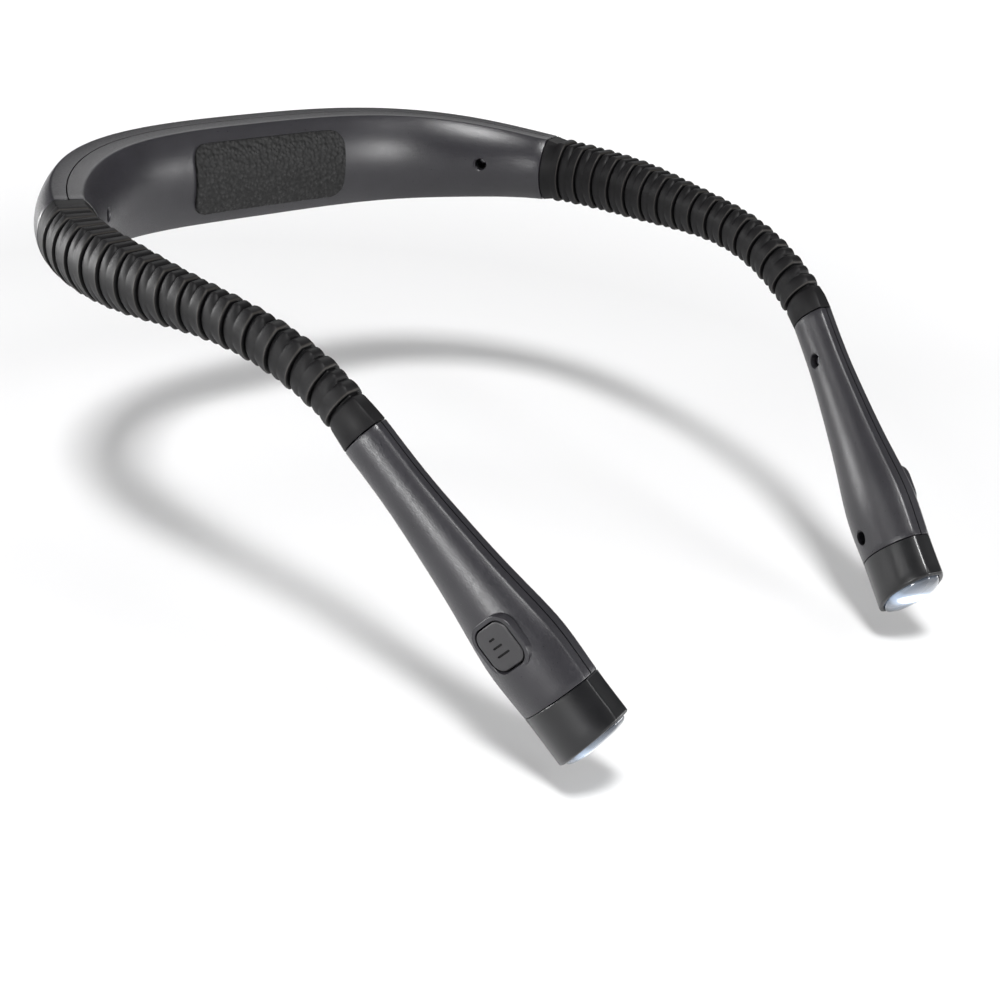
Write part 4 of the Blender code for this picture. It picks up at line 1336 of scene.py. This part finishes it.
@dataclass
class Arm(Maker):
    """One gooseneck arm: its ribbed sleeve and its spine, each in two halves."""

    ribs: int = 17
    rear_ribs: int = 9
    groove_depth: float = 1.0 * MM
    flare: float = 0.3 * MM
    waist: float = 0.25 * MM
    seat_gap: float = 0.3 * MM
    bore: float = 1.95 * MM
    wide_bore: float = 2.7 * MM
    bore_rings: int = 12
    ferrule_seat: float = 3.3 * MM
    spine_radius: float = 1.6 * MM
    spine_bore: float = 0.9 * MM
    spine_tail: float = 5.0 * MM
    spine_sides: int = 16
    spine_rings: int = 16
    wire: float = 0.9 * MM
    wire_valley: float = 0.9
    swing_share: float = 0.27
    tilt_share: float = 0.75
    bend_reach: float = 22.0 * MM
    section: Section = Section(ease=0.28 * MM)
    # The last number of each step is its painted light: low in the grooves for painted shade, high at the
    # flared rim for a painted highlight.
    steps: tuple[RibStep, ...] = (
        RibStep(0.00, 1.00, 1.00, 0.0),
        RibStep(0.025, 0.98, 1.00, 0.0),
        RibStep(0.045, 0.52, 0.86, 0.3),
        RibStep(0.09, 0.44, 0.50, 0.5),
        RibStep(0.16, 0.41, 0.22, 0.55),
        RibStep(0.24, 0.38, 0.12, 0.6),
        RibStep(0.33, 0.34, 0.24, 0.55),
        RibStep(0.40, 0.31, 0.60, 0.5),
        RibStep(0.44, 0.29, 0.98, 0.45),
        RibStep(0.47, 0.28, 1.00, 0.45),
        RibStep(0.51, 0.26, 0.62, 0.5),
        RibStep(0.58, 0.23, 0.26, 0.55),
        RibStep(0.68, 0.18, 0.08, 0.6),
        RibStep(0.78, 0.12, 0.06, 0.62),
        RibStep(0.87, 0.05, 0.22, 0.7),
        RibStep(0.90, 0.00, 0.32, 0.9),
        RibStep(0.92, -0.05, 0.42, 1.0),
        RibStep(0.94, -0.04, 0.58, 1.0),
        RibStep(0.953, 0.06, 0.76, 0.6),
        RibStep(0.96, 0.30, 0.86, 0.2),
        RibStep(0.965, 1.00, 1.00, 0.0),
    )
    collar_share: float = 0.5
    collar: tuple[RibStep, ...] = (RibStep(0.0, 0.30, 0.26, 0.6), RibStep(0.02, 0.16, 0.14, 0.6))
    band_share: float = 0.2
    band: tuple[RibStep, ...] = (RibStep(0.50, 0.20, 0.10, 0.6), RibStep(0.98, 0.05, 0.05, 0.7))
    band_rim: RibStep = RibStep(1.0, 0.1, 0.1, 0.7)

    @property
    def start(self) -> float:
        """Where the sleeve starts."""
        return self.route.sleeve_start + self.seat_gap

    @property
    def stop(self) -> float:
        """Where the sleeve ends."""
        return self.route.sleeve_end - self.seat_gap

    @property
    def pitch(self) -> float:
        """The length of one rib."""
        return (self.stop - self.start) / self.ribs

    def build(self) -> None:
        """Makes both halves of the sleeve and of the spine."""
        word = self.side.word
        split = self.start + self.pitch * self.rear_ribs
        rear, front = ("housing", f"{word}_arm"), (f"{word}_arm", f"{word}_head")
        halves = (
            ("rear", range(self.rear_ribs), self.start, split, rear, self.swing_share),
            ("front", range(self.rear_ribs, self.ribs), split, self.stop, front, self.tilt_share),
        )
        for name, ribs, start, stop, bodies, bend in halves:
            bodies = (*bodies, *self.bend_ends(bend))
            sleeve = self.bench.object(f"{word}_sleeve_{name}", self.sleeve_mesh(ribs, start, stop))
            self.bench.fasten(sleeve, self.looks.sleeve, [f"{word}_sleeve"], bodies, self.side)
            spine = self.bench.object(f"{word}_spine_{name}", self.spine_mesh(name, split))
            self.bench.fasten(spine, self.looks.spine, [f"{word}_gooseneck_spine"], bodies, self.side)

    def bend_ends(self, share: float) -> tuple[Vector, Vector]:
        """Finds the ends of a bend.

        Args:
            share: Where its middle lies, as a share of the sleeve.

        Returns:
            The points where it starts and ends, mirrored for the left side.
        """
        station = self.route.station(self.route.sleeve(share))
        ends = [station.at(ahead=-self.bend_reach), station.at(ahead=self.bend_reach)]
        return tuple(Vector((end.x * self.side.value, end.y, end.z)) for end in ends)

    def sleeve_mesh(self, ribs: range, start: float, stop: float) -> BMesh:
        """One half of the sleeve, with its bore.

        Args:
            ribs: The ribs that it holds.
            start: Where it starts.
            stop: Where it ends.

        Returns:
            The closed mesh, which carries the painted shade and highlight of its ribs.
        """
        rings, painted_lights = [], []
        for rib in ribs:
            for step in self.rib_steps(rib):
                station = self.route.station(self.start + self.pitch * (rib + step.share))
                rings.append(station.ring(self.outline(station, step)))
                painted_lights.append(step.tone)
        last = self.band_rim if ribs[-1] == self.ribs - 1 else self.steps[0]
        station = self.route.station(stop)
        rings.append(station.ring(self.outline(station, last)))
        painted_lights.append(last.tone)
        for place, radius in reversed(self.bore_steps(start, stop)):
            station = self.route.station(place)
            rings.append(station.ring(circle(radius, self.section.count)))
            painted_lights.append(0.0)
        sweep = Sweep(rings[0], "rib_shade_and_highlight").run(rings[1:])
        sweep.carry(painted_lights)
        return sweep.joined()

    def rib_steps(self, rib: int) -> list[RibStep]:
        """The rings of a rib. The first rib starts as a plain collar, and the last one is a plain band.

        Args:
            rib: The rib's number, from the housing.

        Returns:
            Its rings in order.
        """
        if rib == 0:
            return [*self.collar, *(step for step in self.steps if step.share > self.collar_share)]
        if rib == self.ribs - 1:
            return [*(step for step in self.steps if step.share < self.band_share), *self.band]
        return list(self.steps)

    def outline(self, station: Station, step: RibStep) -> list[Place]:
        """The sleeve's outline at one ring.

        Args:
            station: Where the ring stands.
            step: How deep it lies.

        Returns:
            The (out, up) places.
        """
        depths = (step.face_depth, step.strip_depth)
        return self.section.whole(station, *(self.waist + self.groove_depth * d - self.flare for d in depths))

    def bore_steps(self, start: float, stop: float) -> list[Place]:
        """The bore of one half, wider where a ferrule reaches in.

        Args:
            start: Where the half starts.
            stop: Where it ends.

        Returns:
            The (place, radius) steps.
        """
        low, high = self.start + self.ferrule_seat, self.stop - self.ferrule_seat
        places = evenly(max(start, low), min(stop, high), self.bore_rings)
        steps = [(place, self.bore) for place in places]
        if start < low:
            steps = [(start, self.wide_bore), (low, self.wide_bore), *steps]
        if stop > high:
            steps = [*steps, (high, self.wide_bore), (stop, self.wide_bore)]
        return steps

    def spine_mesh(self, name: str, split: float) -> BMesh:
        """One half of the gooseneck: a conduit wound of round wire, with its bore.

        Args:
            name: Which half it is, rear or front.
            split: Where the two halves meet.

        Returns:
            The closed mesh.
        """
        start, stop = self.route.sleeve_start - self.spine_tail, self.route.sleeve_end + self.spine_tail
        start, stop = (start, split) if name == "rear" else (split, stop)
        windings = 2 * round((stop - start) / self.wire) + 1
        rings = []
        for i, place in enumerate(evenly(start, stop, windings)):
            radius = self.spine_radius * (1.0 if i % 2 else self.wire_valley)
            rings.append(self.route.station(place).ring(circle(radius, self.spine_sides)))
        for place in reversed(evenly(start, stop, self.spine_rings)):
            rings.append(self.route.station(place).ring(circle(self.spine_bore, self.spine_sides)))
        return Sweep(rings[0]).run(rings[1:]).joined()


@dataclass
class LampHead(ShellMaker):
    """One lamp head: two shells, the screws, the bezel, the lens and the push button.

    The bars are (ahead, low end, high end) on the cap's face. The crown, the boss's edge and the bezel's
    front are shares of their own ease. A pillow of 1 makes the lens an ellipse, and a lower one is fuller.
    """

    stations: int = 41
    end_ease: float = 0.2 * MM
    neck_screw_share: float = 0.185
    nose_screw_setback: float = 5.0 * MM
    nose_screw_drop: float = 3.2 * MM
    button_share: float = 0.77
    button_lean: float = math.radians(2.0)
    button_rise: float = 0.9 * MM
    button_sink: float = 0.4 * MM
    button_side: float = 9.2 * MM
    button_corner: float = 2.6 * MM
    button_proud: float = 0.1 * MM
    button_flange: float = 0.5 * MM
    button_flange_thickness: float = 0.7 * MM
    button_skirt: float = 3.2 * MM
    button_edge: float = 0.3 * MM
    button_crown: tuple[Point, ...] = (
        (1.0, 0.0, 0.0),
        (0.62, 0.15, 0.07),
        (0.30, 0.6, 0.3),
        (0.08, 1.3, 0.65),
        (0.0, 2.2, 1.0),
    )
    bars: tuple[Point, ...] = (
        (-1.90 * MM, -1.40 * MM, 0.34 * MM),
        (-0.20 * MM, -1.75 * MM, 1.12 * MM),
        (1.55 * MM, -2.09 * MM, 1.75 * MM),
    )
    bar_width: float = 0.46 * MM
    bar_depth: float = 0.25 * MM
    bar_fill: float = 0.06 * MM
    bar_sides: int = 20
    hole_gap: float = 0.3 * MM
    boss_width: float = 0.95 * MM
    boss_ease: float = 0.25 * MM
    boss_edge: tuple[Point, ...] = ((1.0, 0.0, 0.0), (0.35, 0.3, 0.15), (0.0, 1.0, 0.5))
    bezel_skirt: float = 1.5 * MM
    bezel_wall: float = 1.0 * MM
    bezel_gap: float = 0.14 * MM
    bezel_chamfer: float = 0.12 * MM
    bezel_run_in: float = 1.0 * MM
    bezel_rings: int = 5
    bezel_ease: float = 0.5 * MM
    bezel_front: tuple[Place, ...] = ((0.6, 0.1), (0.25, 0.4), (0.0, 1.0))
    bezel_lip: float = 0.1 * MM
    lens_recess: float = 0.2 * MM
    lens_rim: float = 1.5 * MM
    lens_shoulder: float = 0.2 * MM
    lens_dome: float = 1.7 * MM
    lens_pillow: float = 0.66
    lens_rings: int = 16
    lens_reach: float = 0.97
    nose_slant: float = 1.8 * MM
    glow_squash: float = 0.32

    @property
    def body(self) -> str:
        """The body that the head rides on."""
        return self.node("head")

    def build(self) -> None:
        """Makes every piece of the head."""
        self.shells()
        self.bezel()
        self.lens()
        self.button()

    def dress(self, name: str, bm: BMesh, finish: Finish, node: str) -> None:
        """Makes one piece of the head and fastens it in the place of its CAD node."""
        piece = self.bench.object(self.node(name), bm)
        self.bench.fasten(piece, finish, [self.node(node)], self.body, self.side)

    def button_station(self) -> Station:
        """Sets up the button's station: raised on the face, sunk below its crown and leaned down a little.

        Returns:
            The station.
        """
        station = self.route.station(self.route.head(self.button_share))
        lean = Matrix.Rotation(-self.button_lean, 3, station.along)
        return replace(
            station,
            point=station.at(up=self.button_rise),
            up=lean @ station.up,
            out=lean @ station.out,
            half_depth=station.half_depth - self.button_sink,
        )

    def shells(self) -> None:
        """Makes both shells, with the button's boss and hole, the cavity and the screw posts."""
        route, bench = self.route, self.bench
        solid = evenly(route.sleeve_end, route.bezel_start, self.stations)
        ends = route.sleeve_end + self.end_wall, route.bezel_start + self.overrun
        hollow = evenly(*ends, self.stations // 2)
        names = {shell: f"head_{shell.name.lower()}" for shell in Shell}
        shells = {shell: self.half(self.node(f"{name}_skin"), shell, solid) for shell, name in names.items()}
        station = self.button_station()
        top, ease = station.half_depth, self.boss_ease
        hole, corner = self.button_side + 2 * self.hole_gap, self.button_corner + self.hole_gap
        rim, rim_corner = hole + 2 * self.boss_width, corner + self.boss_width
        boss = ((top - self.wall, rim + ease, rim_corner), *eased(top, rim, rim_corner, ease, self.boss_edge))
        bench.carve(shells[Shell.OUTER], "UNION", square_prism(station, boss))
        for shell in shells.values():
            bench.carve(shell, "DIFFERENCE", self.cavity(hollow))
        opening = (
            (top - self.wall - self.overrun, hole, corner),
            (top - ease / 2, hole, corner),
            (top + ease / 2, hole + ease, corner + ease / 2),
            (top + self.overrun, hole + ease, corner + ease / 2),
        )
        bench.carve(shells[Shell.OUTER], "DIFFERENCE", square_prism(station, opening))
        screws = (
            ("neck_screw", route.head(self.neck_screw_share), 0.0),
            ("nose_screw", route.bezel_start - self.nose_screw_setback, self.nose_screw_drop),
        )
        for name, place, drop in screws:
            self.dress(f"{name}_fine", self.fit_screw(shells, place, drop), self.looks.steel, name)
        for shell, name in names.items():
            bench.fasten(shells[shell], self.looks.shell, [self.node(f"{name}_shell")], self.body, self.side)

    def bezel(self) -> None:
        """The glossy ring that carries on the head's section and plugs into it."""
        start, stop, ease = self.route.bezel_start + self.bezel_gap, self.route.end, self.bezel_ease
        back, skirt = start - self.bezel_gap - self.bezel_skirt, self.wall + self.bezel_gap
        inside, thick = start + self.bezel_gap, skirt + self.bezel_wall / 2
        steps = [
            (back, skirt),
            (start, skirt),
            (start, self.bezel_chamfer),
            (start + self.bezel_chamfer, 0.0),
            *((place, 0.0) for place in evenly(start + self.bezel_run_in, stop - ease, self.bezel_rings)),
            *((stop - ease * behind, ease * sink) for behind, sink in self.bezel_front),
            (stop, self.bezel_wall - self.bezel_lip),
            (stop - self.bezel_lip, self.bezel_wall),
            (inside, self.bezel_wall),
            (inside, thick),
            (back, thick),
        ]
        outlines = [self.section.whole(self.route.station(place), sink) for place, sink in steps]
        rings = [self.nose_ring(place, outline) for (place, _), outline in zip(steps, outlines)]
        self.dress("bezel_ring", Sweep(rings[0]).run(rings[1:]).joined(), self.looks.bezel, "bezel")

    def nose_ring(self, place: float, places: Sequence[Place]) -> list[Vector]:
        """A ring of the nose, whose front leans back at the top.

        Args:
            place: The ring's distance along the route.
            places: The ring's (out, up) places.

        Returns:
            The ring's points.
        """
        start, stop = self.route.bezel_start + self.bezel_gap, self.route.end
        station = self.route.station(place)
        slant = self.nose_slant * min(max((place - start) / (stop - start), 0.0), 1.0)
        height = 2 * station.half_height
        return [station.at(slant * (0.5 - up / height), out, up) for out, up in places]

    def lens(self) -> None:
        """The softly domed window in the bezel, which carries the distance from its middle."""
        back = self.route.end - self.lens_recess - self.lens_rim
        station = self.route.station(back)
        places = self.section.whole(station, self.bezel_wall + self.bezel_gap)
        base = back + self.lens_rim
        rows = [(back, 1.0), (base - self.lens_shoulder, 1.0)]
        for turn in evenly(0.0, self.lens_reach, self.lens_rings):
            rise = math.sin(math.pi / 2 * turn) ** self.lens_pillow
            rows.append((base + self.lens_dome * rise, math.cos(math.pi / 2 * turn) ** self.lens_pillow))
        outlines = [[(out * shrink, up * shrink) for out, up in places] for _, shrink in rows]
        rings = [self.nose_ring(ahead, outline) for (ahead, _), outline in zip(rows, outlines)]
        sweep = Sweep(rings[0], "lens_reach").run(rings[1:])
        for row, (_, shrink) in zip(sweep.rows, rows):
            for vert, (out, up) in zip(row, places):
                spread = math.hypot(self.glow_squash * out / station.half_depth, up / station.half_height)
                vert[sweep.layer] = spread * shrink
        self.dress("lens_dome", sweep.capped(), self.looks.lens, "lens")

    def button(self) -> None:
        """The square cap, softly crowned, with three bars of growing length sunk in its face, a black sheet
        of painted shade at each bar's floor.
        """
        station = self.button_station()
        crown, edge = station.half_depth + self.button_proud, self.button_edge
        under = station.half_depth - self.button_skirt
        wide, side, corner = self.button_side + 2 * self.button_flange, self.button_side, self.button_corner
        steps = (
            (under - self.button_flange_thickness, wide, corner),
            (under, wide, corner),
            (under, side, corner),
            *eased(crown, side, corner, edge, self.button_crown),
        )
        cap = self.bench.object(self.node("button_cap_fine"), square_prism(station, steps))
        body, half = self.node("button_cap"), self.bar_width / 2
        floor, fill = crown - self.bar_depth, self.bar_fill
        for number, span in enumerate(self.bars, 1):
            groove = self.bar(station, span, half, (floor, crown + self.overrun))
            self.bench.carve(cap, "DIFFERENCE", groove)
            # A black sheet at the bar's floor paints the shade in the sunk bar.
            shade_sheet = self.bar(station, span, half + fill, (floor - fill, floor + fill))
            mark = self.bench.object(self.node(f"button_bar_{number}"), shade_sheet)
            self.bench.fasten(mark, self.looks.mark, [], body, self.side)
        self.bench.fasten(cap, self.looks.button, [self.node("button")], body, self.side)

    def bar(self, station: Station, span: Point, half: float, outs: Place) -> BMesh:
        """One level bar of the button, as a round-ended prism.

        Args:
            station: The button's station.
            span: Its place along the head, and its two ends across it.
            half: Half its width.
            outs: Where it starts and ends outwards.

        Returns:
            The closed mesh.
        """
        ahead, low, high = span
        middle, reach = (low + high) / 2, (high - low) / 2 - half
        places = []
        for i in range(self.bar_sides):
            turn = 2 * math.pi * (i + 0.5) / self.bar_sides
            rise = math.copysign(reach, math.sin(turn)) + half * math.sin(turn)
            places.append((ahead + half * math.cos(turn), middle + rise))
        return swept([[station.at(a, out, b) for a, b in places] for out in outs])


# CAD nodes that keep their shape


def dress_kept_nodes(bench: Workbench, looks: Wardrobe) -> None:
    """Gives every CAD node that keeps its own mesh its finish.

    Args:
        bench: The workbench, which holds the materials.
        looks: The finishes.
    """
    plain = {"battery_cell": looks.wrap, "charge_board": looks.circuit, "usb_socket": looks.steel}
    sided = {
        "housing_ferrule": looks.aluminium,
        "head_ferrule": looks.aluminium,
        "reflector": looks.chrome,
        "led_board": looks.aluminium,
        "led": looks.light,
        "tact_switch": looks.switch,
        "switch_board": looks.circuit,
    }
    named = {f"{side.word}_{name}": finish for side in Side for name, finish in sided.items()}
    for name, finish in {**plain, **named}.items():
        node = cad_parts[name]
        node.data.materials.clear()
        node.data.materials.append(bench.rack.get(finish))
        LOG.info("%s keeps its shape, %s", name, finish.name)


# Studio


@dataclass(frozen=True)
class SoftBox:
    """One rectangular soft light, aimed at the lamp."""

    name: str
    place: Point
    width: float
    height: float
    power: float


@dataclass
class Studio:
    """The floor, the lights and the camera.

    The floor glows from the near to the far end of its reach, so that it is white at the picture's edges and
    still takes the shadows close to the lamp.
    """

    floor_height: float = -0.078
    floor_size: float = 6.0
    floor_colour: Colour = (0.73, 0.73, 0.734)
    floor_roughness: float = 0.9
    floor_shine: float = 0.1
    glow_reach: Place = (0.22, 0.9)
    glow: Colour = (0.9, 0.9, 0.9)
    camera_place: Point = (-0.246231, -0.359740, 0.106009)
    camera_right: Point = (0.74660, -0.66196, 0.06634)
    camera_down: Point = (-0.23340, -0.35400, -0.90565)
    camera_forward: Point = (0.62299, 0.66068, -0.41880)
    clip: Place = (0.01, 50.0)
    surround: float = 0.07
    aim: Point = (0.0, -0.08, -0.02)
    boxes: tuple[SoftBox, ...] = (
        SoftBox("key", (-0.56, -0.64, 1.34), 0.28, 0.28, 24.0),
        SoftBox("top", (1.00, 1.00, 1.35), 1.40, 1.40, 11.0),
        SoftBox("crease", (0.20, -1.15, 0.98), 0.34, 0.26, 2.4),
        SoftBox("front", (0.12, -1.35, 0.10), 0.50, 0.42, 12.0),
        SoftBox("right", (1.26, -1.08, 0.06), 0.70, 0.36, 10.0),
        SoftBox("right_high", (1.00, -0.65, 0.85), 0.45, 0.45, 0.4),
        SoftBox("left", (-1.52, -0.22, 0.06), 0.34, 0.24, 13.0),
        SoftBox("left_rear", (-0.72, 1.20, 0.10), 0.46, 0.36, 15.0),
        SoftBox("left_high", (-1.40, 0.55, 0.50), 0.40, 0.40, 5.0),
    )
    focal_length: float = 57.58
    sensor_width: float = 36.0

    def build(self) -> None:
        """Sets the whole studio."""
        self.floor()
        self.sky()
        self.lights()
        self.camera()

    def floor(self) -> None:
        """A wide pale floor that glows more with its distance, as a lit sweep does."""
        bm = bmesh.new()
        bmesh.ops.create_grid(bm, x_segments=2, y_segments=2, size=self.floor_size)
        bmesh.ops.translate(bm, vec=(0, 0, self.floor_height), verts=bm.verts)
        mesh = bpy.data.meshes.new("studio_floor")
        bm.to_mesh(mesh)
        bm.free()
        floor = bpy.data.objects.new("studio_floor", mesh)
        bpy.context.scene.collection.objects.link(floor)
        sheet = NodeSheet("studio_floor")
        sheet.set(Base_Color=(*self.floor_colour, 1.0), Roughness=self.floor_roughness)
        sheet.set(Specular_IOR_Level=self.floor_shine, Emission_Strength=1.0)
        reach = sheet.add("ShaderNodeVectorMath", operation="LENGTH")
        sheet.join(sheet.coordinates, reach.inputs[0])
        stops = tuple(zip(self.glow_reach, ((0.0, 0.0, 0.0), self.glow)))
        sheet.drive(sheet.curve(reach.outputs["Value"], stops), "Emission Color")
        mesh.materials.append(sheet.material)

    def sky(self) -> None:
        """A faint, even white surround."""
        world = bpy.data.worlds.new("studio")
        world.use_nodes = True
        background = world.node_tree.nodes["Background"]
        background.inputs["Color"].default_value = (1.0, 1.0, 1.0, 1.0)
        background.inputs["Strength"].default_value = self.surround
        bpy.context.scene.world = world
        bpy.context.scene.view_settings.view_transform = "Standard"

    def lights(self) -> None:
        """Soft boxes: a small key that throws the shadows, and low ones that draw the highlights."""
        aim = Vector(self.aim)
        for box in self.boxes:
            light = bpy.data.lights.new(f"studio_{box.name}", "AREA")
            light.shape, light.energy = "RECTANGLE", box.power
            light.size, light.size_y = box.width, box.height
            lamp = bpy.data.objects.new(f"studio_{box.name}", light)
            lamp.location = box.place
            lamp.rotation_euler = (Vector(box.place) - aim).to_track_quat("Z", "Y").to_euler()
            lamp.visible_camera = False
            bpy.context.scene.collection.objects.link(lamp)

    def camera(self) -> None:
        """The camera at the photograph's angle."""
        data = bpy.data.cameras.new("studio_camera")
        data.lens, data.sensor_width, data.sensor_fit = self.focal_length, self.sensor_width, "HORIZONTAL"
        data.clip_start, data.clip_end = self.clip
        camera = bpy.data.objects.new("studio_camera", data)
        axes = (Vector(self.camera_right), -Vector(self.camera_down), -Vector(self.camera_forward))
        turn = Matrix(axes).transposed().to_4x4()
        camera.matrix_world = Matrix.Translation(self.camera_place) @ turn
        bpy.context.scene.collection.objects.link(camera)
        bpy.context.scene.camera = camera


def main() -> None:
    """Builds the lamp's pieces in order, then the studio."""
    logging.basicConfig(level=logging.INFO, format="%(name)s: %(message)s")
    route, bench, looks = Route(), Workbench(), Wardrobe()
    RearHousing(route, bench, looks).build()
    NapePad(route, bench, looks).build()
    for side in Side:
        Arm(route, bench, looks, side).build()
        LampHead(route, bench, looks, side).build()
    dress_kept_nodes(bench, looks)
    Studio().build()
    LOG.info("%d new pieces", bench.pieces)


if __name__ == "__main__":
    main()
